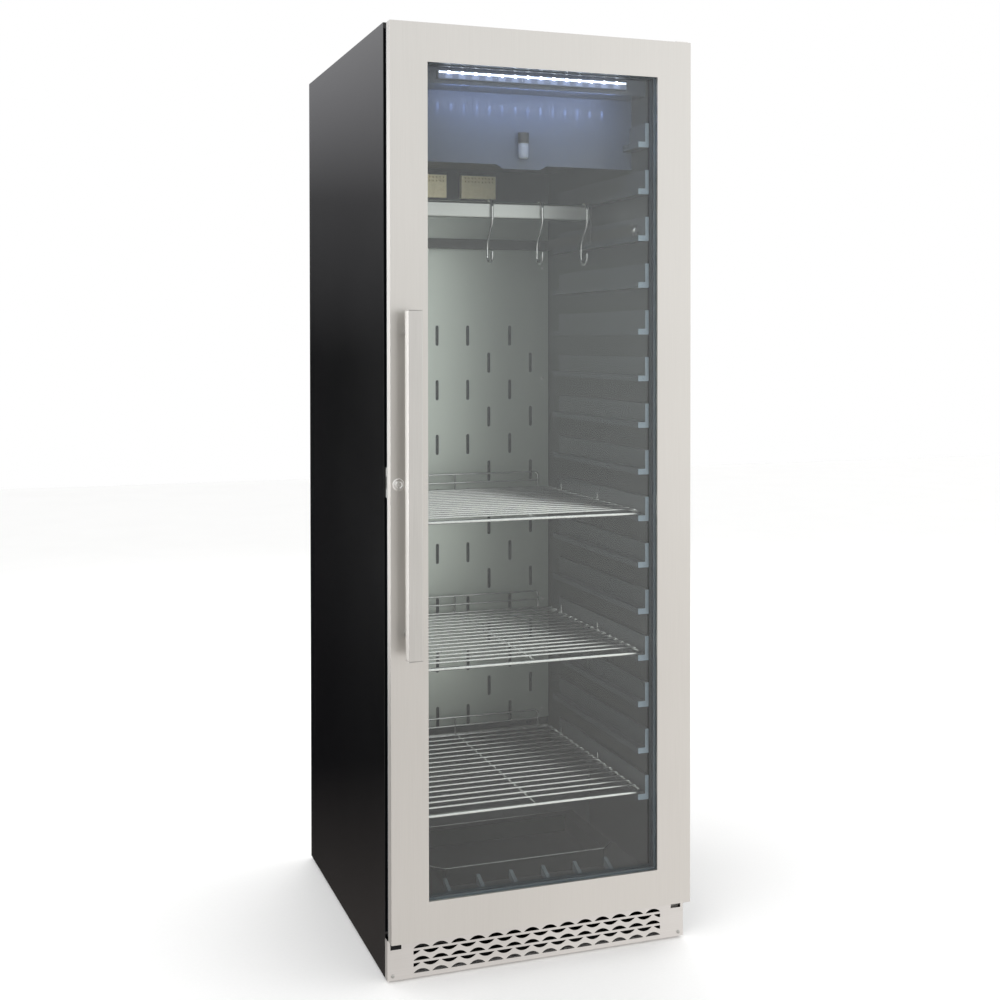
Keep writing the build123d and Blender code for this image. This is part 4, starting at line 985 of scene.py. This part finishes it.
@dataclass
class Machine:
    """Fans, compressor, condenser and what feeds them.

    Attributes:
        pin_rise: How far the outer pins lie below the inlet's middle, and the third above it.
        pin_root_share: Where a pin starts, as a share of the inlet's depth from behind.
    """

    pin_diameter: float = 4.0 * MM
    pin_length: float = 11.0 * MM
    pin_pitch: float = 7.0 * MM
    pin_rise: float = 7.0 * MM / 3
    pin_root_share: float = 0.75
    pin_facets: int = 16

    def build(self) -> None:
        """Builds and dresses the machine bay."""
        dress(ALUMINIUM, "condenser_coil")
        dress(MOULDED_BLACK, "fan_frames", "evaporator_fan_rotor", "condenser_fan_rotor", "power_inlet")
        dress(ENAMEL, "compressor")
        dress(COPPER, "refrigerant_pipes")
        dress(MOULDED_GREY, "control_box")
        self.inlet_pins()

    def inlet_pins(self) -> bpy.types.Object:
        """The three contacts inside the power inlet.

        Returns:
            The new piece.
        """
        low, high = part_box("power_inlet")
        middle = (low + high) / 2
        root = high.y - self.pin_root_share * (high.y - low.y)
        radius, length = self.pin_diameter / 2, self.pin_length
        outline = [(0.0, 0.0), (radius, 0.0), (radius, length - radius), (0.0, length)]
        shaper = Shaper()
        for step, rise in ((-1, -1), (0, 1), (1, -1)):
            foot = Vector((middle.x + step * self.pin_pitch, root, middle.z + rise * self.pin_rise))
            shaper.turned(foot, Axis.BACKWARD, outline, self.pin_facets)
        return shaper.piece("inlet_pins", CHROME, Body.CABINET, Slot.ZINC)


@dataclass
class Handle:
    """Square tube with end caps on two posts."""

    bar_depth: float = 25.0 * MM
    bar_edge: float = 1.6 * MM
    bar_facets: int = 4
    cap_length: float = 1.5 * MM
    cap_edge: float = 0.45 * MM
    post_diameter: float = 14.0 * MM
    post_inset: float = 40.0 * MM
    post_edge: float = 0.4 * MM

    def build(self) -> None:
        """Builds the handle."""
        low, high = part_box("door_handle")
        self.bar(low, high)
        self.posts(low, high)

    def bar(self, low: Vector, high: Vector) -> bpy.types.Object:
        """The bar and its two caps.

        Args:
            low: Lowest corner of the handle.
            high: Highest corner of the handle.

        Returns:
            The new piece.
        """
        back = low.y + self.bar_depth
        ends = (low.z, low.z + self.cap_length, high.z - self.cap_length, high.z)
        rounding = (self.cap_edge, self.bar_edge, self.cap_edge)
        shaper = Shaper()
        for bottom, top, edge in zip(ends, ends[1:], rounding):
            foot, head = Vector((low.x, low.y, bottom)), Vector((high.x, back, top))
            shaper.block(foot, head, edge, self.bar_facets)
        return shaper.piece("handle_bar", HANDLE_STEEL, Body.DOOR, Slot.STEEL, "door_handle")

    def posts(self, low: Vector, high: Vector) -> bpy.types.Object:
        """Two round posts between the bar and the door, in a darker copy of the handle's steel: painted
        shade that dims their highlights.

        Args:
            low: Lowest corner of the handle.
            high: Highest corner of the handle.

        Returns:
            The new piece.
        """
        radius, edge = self.post_diameter / 2, self.post_edge
        reach = high.y - low.y - self.bar_depth
        outline = [
            (0.0, 0.0),
            (radius - edge, 0.0),
            (radius, edge),
            (radius, reach - edge),
            (radius - edge, reach),
            (0.0, reach),
        ]
        shaper = Shaper()
        for z in (low.z + self.post_inset, high.z - self.post_inset):
            shaper.turned(Vector(((low.x + high.x) / 2, high.y, z)), Axis.FORWARD, outline)
        return shaper.piece("handle_posts", POST_STEEL_PAINTED_SHADE, Body.DOOR, Slot.STEEL)


@dataclass
class Lock:
    """Cam lock: rosette with its barrel, and the plug with its keyway and cam."""

    barrel_diameter: float = 18.0 * MM
    rosette_height: float = 1.6 * MM
    bore_diameter: float = 11.1 * MM
    groove_width: float = 2.1 * MM
    groove_depth: float = 4.5 * MM
    plug_diameter: float = 11.0 * MM
    plug_edge: float = 0.5 * MM
    keyway_width: float = 2.4 * MM
    keyway_height: float = 7.0 * MM
    keyway_depth: float = 8.0 * MM
    cam_thickness: float = 2.0 * MM
    cam_width: float = 6.0 * MM
    hub_diameter: float = 14.0 * MM
    cam_reach: float = 13.0 * MM
    facets: int = 48

    def build(self) -> None:
        """Builds the lock."""
        low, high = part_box("lock_barrel")
        middle_x, middle_z = (low.x + high.x) / 2, (low.z + high.z) / 2
        self.rosette(Vector((middle_x, high.y, middle_z)), (high.x - low.x) / 2, high.y - low.y)
        self.plug(middle_x, middle_z)

    def rosette(self, foot: Vector, rim: float, length: float) -> bpy.types.Object:
        """Barrel with a domed and grooved rosette.

        Args:
            foot: Middle of the barrel's rear end.
            rim: Radius of the rosette.
            length: Length of the barrel with its rosette.

        Returns:
            The new piece.
        """
        bore, barrel = self.bore_diameter / 2, self.barrel_diameter / 2
        seat, inner = length - self.rosette_height, bore + self.groove_width
        shoulder = length - self.plug_edge / 2
        outline = [
            (bore, 0.0),
            (barrel, 0.0),
            (barrel, seat),
            (rim, seat),
            (rim, seat + self.rosette_height / 2),
            (rim - self.plug_edge, shoulder),
            ((rim + bore) / 2 + self.plug_edge, length),
            (inner, shoulder),
            (inner, length - self.groove_depth),
            (bore, length - self.groove_depth),
        ]
        shaper = Shaper().turned(foot, Axis.FORWARD, outline, self.facets, bored=True)
        return shaper.piece("lock_rosette", LOCK_NICKEL, Body.DOOR, Slot.ZINC, "lock_barrel")

    def plug(self, x: float, z: float) -> bpy.types.Object:
        """Turning plug with its keyway, and the cam behind it.

        Args:
            x: Sideways place of the lock's axis.
            z: Height of the lock's axis.

        Returns:
            The new piece.
        """
        low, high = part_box("lock_plug")
        radius, hub, edge = self.plug_diameter / 2, self.hub_diameter / 2, self.plug_edge
        length = high.y - low.y
        outline = [
            (0.0, 0.0),
            (hub, 0.0),
            (hub, self.cam_thickness),
            (radius, self.cam_thickness),
            (radius, length - edge),
            (radius - edge, length),
            (0.0, length),
        ]
        shaper = Shaper().turned(Vector((x, high.y, z)), Axis.FORWARD, outline, self.facets)
        mouth = Vector((x, low.y, z))
        half = Vector((self.keyway_width / 2, 0.0, self.keyway_height / 2))
        reach = Vector((0.0, self.keyway_depth, 0.0))
        shaper.cut(Shaper().block(mouth - half - reach, mouth + half + reach))
        cam_low = Vector((x - self.cam_width / 2, high.y - self.cam_thickness, z - self.cam_reach))
        cam_high = Vector((x + self.cam_width / 2, high.y, z - hub + edge))
        shaper.block(cam_low, cam_high, edge / 2, segments=1)
        return shaper.piece("lock_core", LOCK_NICKEL, Body.LOCK, Slot.ZINC, "lock_plug")


@dataclass
class Door:
    """Steel front, glass and seal."""

    skin_edge: float = 0.45 * MM

    def build(self) -> None:
        """Builds and dresses the door."""
        softened("door_skin", BRUSHED_STEEL, Body.DOOR, Slot.STEEL, self.skin_edge)
        dress(FRAME_BLACK, "door_core")
        # The inner frame's pale blue-grey is painted light on black plastic.
        dress(REVEAL_PAINTED_LIGHT, "door_inner_frame")
        dress(SEAL, "door_gasket")
        dress(GLASS, "glass_panes")
        # The spacer's grey is partly painted light.
        dress(SPACER, "glass_spacer")
        dress(ZINC_PLATE, "handle_screws", "lock_keeper", "hinge_pins")
        dress(ACETAL, "hinge_bushes")
        dress(BRACKET_STEEL, "hinge_brackets")
        Handle().build()
        Lock().build()


@dataclass
class Kick:
    """Grille under the door with its plug, and the cross-head screws.

    Attributes:
        dome_shares: Points of a screw's dome, as shares of its head's radius and height.
        air_panel_inset: Distance of the screws from the air panel's sides.
        air_panel_rise: Height of the lowest pair above the panel's lower edge.
        air_panel_pitch: Distance from one pair to the next.
    """

    sheet_edge: float = 0.25 * MM
    head_diameter: float = 7.0 * MM
    head_height: float = 2.0 * MM
    dome_shares: tuple[Span, ...] = ((1.0, 0.35), (0.9, 0.7), (0.65, 0.93))
    head_facets: int = 24
    shank_diameter: float = 3.5 * MM
    shank_length: float = 9.0 * MM
    recess_width: float = 1.5 * MM
    recess_length: float = 5.0 * MM
    recess_depth: float = 1.3 * MM
    air_panel_inset: float = 14.6 * MM
    air_panel_rise: float = 20.0 * MM
    air_panel_pitch: float = 252.0 * MM

    def build(self) -> None:
        """Builds and dresses the kickplate and the screws."""
        softened("kickplate", KICK_STEEL, Body.CABINET, Slot.STEEL, self.sheet_edge)
        dress(FRAME_BLACK, "hinge_plug")
        self.screws()

    def places(self) -> list[Vector]:
        """Finds where each screw head stands on its sheet.

        Returns:
            The middle of each head's seat.
        """
        low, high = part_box("panel_screws")
        radius = self.head_diameter / 2
        sides = (low.x + radius, high.x - radius)
        found = [Vector((x, low.y + self.head_height, low.z + radius)) for x in sides]
        low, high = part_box("rear_air_panel")
        sides = (low.x + self.air_panel_inset, high.x - self.air_panel_inset)
        z = low.z + self.air_panel_rise
        while z < high.z:
            found += [Vector((x, low.y, z)) for x in sides]
            z += self.air_panel_pitch
        return found

    def screws(self) -> bpy.types.Object:
        """Pan-head screws with a cross recess.

        Returns:
            The new piece.
        """
        head, shank, height = self.head_diameter / 2, self.shank_diameter / 2, self.head_height
        foot = [(0.0, -self.shank_length), (shank, -self.shank_length), (shank, 0.0), (head, 0.0)]
        dome = [(wide * head, high * height) for wide, high in self.dome_shares]
        outline = [*foot, *dome, (0.0, height)]
        shaper = Shaper().turned(Vector(), Axis.FORWARD, outline, self.head_facets)
        long, narrow = self.recess_length / 2, self.recess_width / 2
        front, back = -height - self.recess_depth, -height + self.recess_depth
        for x, z in ((long, narrow), (narrow, long)):
            shaper.cut(Shaper().block(Vector((-x, front, -z)), Vector((x, back, z))))
        shaper.repeated(self.places())
        return shaper.piece("cross_screws", ZINC_PLATE, Body.CABINET, Slot.ZINC, "panel_screws")


@dataclass
class Fittings:
    """Shelves, hanging rack, hooks and salt tray."""

    hem_width: float = 2.2 * MM
    hem_proud: float = 0.4 * MM
    hem_edge: float = 0.5 * MM
    hem_turn: float = math.radians(60)
    rim_chamfer: float = 27.0 * MM

    def build(self) -> None:
        """Builds and dresses what the cabinet holds."""
        dress(BRIGHT_WIRE, "shelf_upper", "shelf_middle", "shelf_lower")
        dress(CHROME, "hook_left", "hook_middle", "hook_right", "rack_knobs")
        dress(DULL_STEEL, "rack_frame")
        dress(TRAY_STEEL, "salt_tray")
        # The hem's bright finish is a painted highlight on the tray's rim.
        self.tray_hem_painted_highlight()
        dress(RAIL_STEEL, "hanging_rail")

    def tray_hem_painted_highlight(self) -> bpy.types.Object:
        """Hem round the rim of the tray in the bright wire finish: a painted highlight along the edges of
        the tray's own dark steel.

        Returns:
            The new piece.
        """
        low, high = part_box("salt_tray")
        foot = Vector((low.x, low.y, high.z - self.hem_width))
        head = Vector((high.x, high.y, high.z + self.hem_proud))
        inset = Vector((self.hem_width, self.hem_width, -self.hem_width))
        shaper = self.rim_block(foot, head)
        shaper.cut(self.rim_block(foot + inset, head - inset))
        shaper.soften(self.hem_edge, self.hem_turn)
        return shaper.piece("tray_hem_painted_highlight", BRIGHT_WIRE, Body.TRAY, Slot.STEEL)

    def rim_block(self, low: Vector, high: Vector) -> Shaper:
        """A block with the two cut front corners of the tray's rim.

        Args:
            low: Lowest corner.
            high: Highest corner.

        Returns:
            The shape.
        """
        shaper = Shaper().block(low, high)
        upright = [e for e in shaper.mesh.edges if abs(e.verts[0].co.z - e.verts[1].co.z) > MM]
        corners = {e for e in upright if e.verts[0].co.y < low.y + MM}
        shaper.round_edges(corners, self.rim_chamfer, segments=1)
        return shaper


@dataclass(frozen=True)
class Softbox:
    """A rectangular lamp.

    Attributes:
        name: Name of the lamp.
        place: Where it stands.
        target: What it faces.
        size: Its width and height.
        power: Its power in watts.
    """

    name: str
    place: Place
    target: Place
    size: Span
    power: float

    def build(self) -> bpy.types.Object:
        """Adds the lamp.

        Returns:
            The lamp's object.
        """
        lamp = bpy.data.lights.new(self.name, "AREA")
        lamp.shape = "RECTANGLE"
        lamp.size, lamp.size_y = self.size
        lamp.energy = self.power
        return hung(lamp, Vector(self.place), Vector(self.target))


@dataclass
class LitCanopy:
    """The glow and the beams that the row of diodes throws on the fascia.

    Attributes:
        drop: How far the lamps lie under the top of the lens.
        colour: Bluish colour of the light.
        glow_size: Width and height of the lamp that lights the fascia.
        glow_power: Its power in watts.
        lip_size: Width and height of the lamp that lights the channel.
        lip_power: Its power in watts.
        lip_gap: Its distance in front of the lens.
        beams: Number of narrow beams.
        beam_pitch: Distance of two beams.
        beam_power: Power of a beam in watts.
        beam_spread: Angle of a beam's cone.
        beam_blend: Share of the cone that fades out.
        beam_gap: Distance of a beam's lamp from the fascia's rear.
        beam_fall: How far a beam falls over that distance.
    """

    drop: float = 24.0 * MM
    colour: Colour = (0.55, 0.65, 1.0)
    glow_size: Span = (0.36, 0.008)
    glow_power: float = 0.55
    lip_size: Span = (0.36, 0.006)
    lip_power: float = 0.05
    lip_gap: float = 24.0 * MM
    beams: int = 14
    beam_pitch: float = 26.0 * MM
    beam_power: float = 0.45
    beam_spread: float = math.radians(12)
    beam_blend: float = 0.8
    beam_gap: float = 10.0 * MM
    beam_fall: float = 36.0 * MM

    def build(self) -> None:
        """Builds the lamps under the canopy."""
        lens_low, lens_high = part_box("led_lens")
        low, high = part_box("fascia_panel")
        foot = lens_high.z - self.drop
        glow_end, lip_end = (0.0, high.y, (low.z + high.z) / 2), (0.0, low.y, foot)
        lip_place = (0.0, lens_low.y - self.lip_gap, lens_high.z)
        for box in (
            Softbox("strip_glow", (0.0, low.y, foot), glow_end, self.glow_size, self.glow_power),
            Softbox("lip_glow", lip_place, lip_end, self.lip_size, self.lip_power),
        ):
            lamp = box.build()
            lamp.data.color = self.colour
            lamp.visible_glossy = False
        for number in range(self.beams):
            across = (number - (self.beams - 1) / 2) * self.beam_pitch
            self.beam(f"diode_beam_{number}", Vector((across, high.y - self.beam_gap, foot)))

    def beam(self, name: str, place: Vector) -> bpy.types.Object:
        """Adds the narrow beam of one diode.

        Args:
            name: Name of the lamp.
            place: Where it stands.

        Returns:
            The lamp's object.
        """
        lamp = bpy.data.lights.new(name, "SPOT")
        lamp.energy = self.beam_power
        lamp.color = self.colour
        lamp.spot_size = self.beam_spread
        lamp.spot_blend = self.beam_blend
        lamp.shadow_soft_size = MM
        holder = hung(lamp, place, place + Vector((0.0, self.beam_gap, -self.beam_fall)))
        holder.visible_glossy = False
        return holder


@dataclass
class Studio:
    """Floor, lights and camera.

    Attributes:
        camera_place: Where the camera stands, in metres.
        camera_turn: Pitch, roll and heading in degrees.
        lens: Focal length in millimetres.
        sensor: Width of the picture on the sensor in millimetres.
        shift: Sideways and upward shift of the picture.
        sight: Distance past which the camera sees nothing.
        floor_reach: Half the side of the floor.
        boxes: Lamps outside the cabinet.
        chamber: Lamp inside the chamber.
        chamber_spread: Angle that its light stays within.
        rear: Lamp behind the cabinet.
        sky: Tone of the surround, and the height of direction where each holds.
        sky_side: Sideways directions between which the surround grows brighter.
        sky_side_share: How bright its right side is, against its left.
        card: Tone of the dark card at the left, and the height where each holds.
        card_span: Its left and right ends.
        card_rise: Its lower and upper ends.
        card_distance: How far behind the cabinet's middle it stands.
    """

    camera_place: Place = (-0.947, -2.7495, 1.165)
    camera_turn: tuple[float, float, float] = (89.2, 0.06, -19.6)
    lens: float = 50.72
    sensor: float = 36.0
    shift: Span = (-0.0043, -0.1395)
    sight: float = 50.0
    floor_reach: float = 9.0
    boxes: tuple[Softbox, ...] = (
        Softbox("key_light", (-2.2, -2.6, 3.0), (0.0, 0.0, 0.9), (2.2, 2.2), 44.0),
        Softbox("rim_light", (-2.6, 2.9, 1.0), (-0.3, -0.2, 1.0), (1.8, 2.4), 34.0),
    )
    chamber: Softbox = Softbox(
        "chamber_light", (-0.07, -0.16, 0.95), (-0.17, 0.26, 0.95), (0.14, 1.1), 0.95
    )
    chamber_spread: float = math.radians(85)
    rear: Softbox = Softbox("rear_light", (0.6, 3.2, 3.0), (0.0, 0.0, 0.9), (2.2, 2.2), 30.0)
    sky: Stops = (
        (-0.6, (0.84, 0.815, 0.79)),
        (-0.42, (0.74, 0.71, 0.685)),
        (-0.31, (0.68, 0.65, 0.625)),
        (-0.14, (0.8, 0.78, 0.755)),
        (0.0, (0.94, 0.935, 0.92)),
        (0.12, (0.88, 0.88, 0.875)),
    )
    sky_side: Span = (0.24, 0.47)
    sky_side_share: float = 1.52
    card: Stops = (
        (-1.3, (0.1, 0.09, 0.085)),
        (-0.6, (0.01, 0.01, 0.011)),
        (1.1, (0.016, 0.016, 0.017)),
        (1.75, (0.14, 0.14, 0.145)),
        (2.2, (0.5, 0.5, 0.52)),
        (2.6, (0.8, 0.8, 0.82)),
    )
    card_span: Span = (-1.62, 0.1)
    card_rise: Span = (-4.0, 3.4)
    card_distance: float = 3.0

    def build(self) -> None:
        """Builds the studio."""
        self.floor()
        self.surround()
        self.dark_card()
        for box in self.boxes:
            box.build()
        inside = self.chamber.build()
        inside.data.spread = self.chamber_spread
        inside.visible_glossy = False
        self.rear.build()
        LitCanopy().build()
        self.camera()

    def floor(self) -> None:
        """A plain pale floor."""
        floor = self.sheet("studio_floor", FLOOR_PALE.material(), Matrix.Scale(self.floor_reach, 4))
        floor.visible_glossy = False

    def sheet(self, name: str, material: bpy.types.Material, place: Matrix) -> bpy.types.Object:
        """Adds a square sheet of the studio.

        Args:
            name: Name of the sheet.
            material: Its material.
            place: Where a two by two square on the floor goes.

        Returns:
            The new object.
        """
        mesh = bmesh.new()
        bmesh.ops.create_grid(mesh, x_segments=1, y_segments=1, size=1.0)
        bmesh.ops.transform(mesh, matrix=place, verts=mesh.verts)
        data = bpy.data.meshes.new(name)
        mesh.to_mesh(data)
        mesh.free()
        data.materials.append(material)
        made = placed(name, data)
        return made

    def dark_card(self) -> None:
        """A dark card behind the left side, which the black side mirrors."""
        graph = Graph(bpy.data.materials.new("card_tone"))
        height = graph.add("SeparateXYZ", {0: graph.place()}).outputs["Z"]
        tone = graph.steps(height, self.card)
        material = graph.finish(graph.add("Emission", {"Color": tone}))
        middle = Vector((sum(self.card_span) / 2, self.card_distance, sum(self.card_rise) / 2))
        wide, high = self.card_span[1] - self.card_span[0], self.card_rise[1] - self.card_rise[0]
        size = Matrix.Diagonal((wide / 2, high / 2, 1.0, 1.0))
        card = self.sheet("studio_card", material, Matrix.Translation(middle) @ Axis.FORWARD.value @ size)
        card.visible_camera = False
        card.visible_diffuse = False
        card.visible_transmission = False
        card.visible_shadow = False

    def surround(self) -> None:
        """A surround that looks white and gives less light from below and from the left."""
        graph = Graph(bpy.data.worlds.new("studio"))
        way = graph.add("TexCoord").outputs["Generated"]
        apart = graph.add("SeparateXYZ", {0: way})
        side = graph.ranged(apart.outputs["X"], self.sky_side, (1.0, self.sky_side_share))
        rising = graph.steps(apart.outputs["Z"], self.sky)
        tone = graph.add("VectorMath", {0: rising, "Scale": side}, operation="SCALE")
        seen = graph.add("LightPath").outputs["Is Camera Ray"]
        mixed = graph.add("Mix", {0: seen, 6: tone.outputs[0], 7: (1.0,) * 4}, data_type="RGBA")
        light = graph.add("Background", {"Color": mixed.outputs[2]})
        bpy.context.scene.world = graph.finish(light, "OutputWorld")

    def camera(self) -> None:
        """The camera at the photograph's angle."""
        data = bpy.data.cameras.new("camera")
        data.sensor_width = self.sensor
        data.lens = self.lens
        data.shift_x, data.shift_y = self.shift
        data.clip_end = self.sight
        camera = placed("camera", data)
        camera.location = self.camera_place
        camera.rotation_euler = [math.radians(angle) for angle in self.camera_turn]
        bpy.context.scene.camera = camera


def main() -> None:
    """Builds every sub-assembly and the studio round it."""
    logging.basicConfig(level=logging.INFO, format="%(name)s: %(message)s")
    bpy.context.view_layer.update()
    for part in (Casing(), Chamber(), Machine(), Door(), Kick(), Fittings(), Studio()):
        LOG.info("building %s", type(part).__name__)
        part.build()
    bpy.context.scene.view_settings.view_transform = "Standard"


if __name__ == "__main__":
    main()
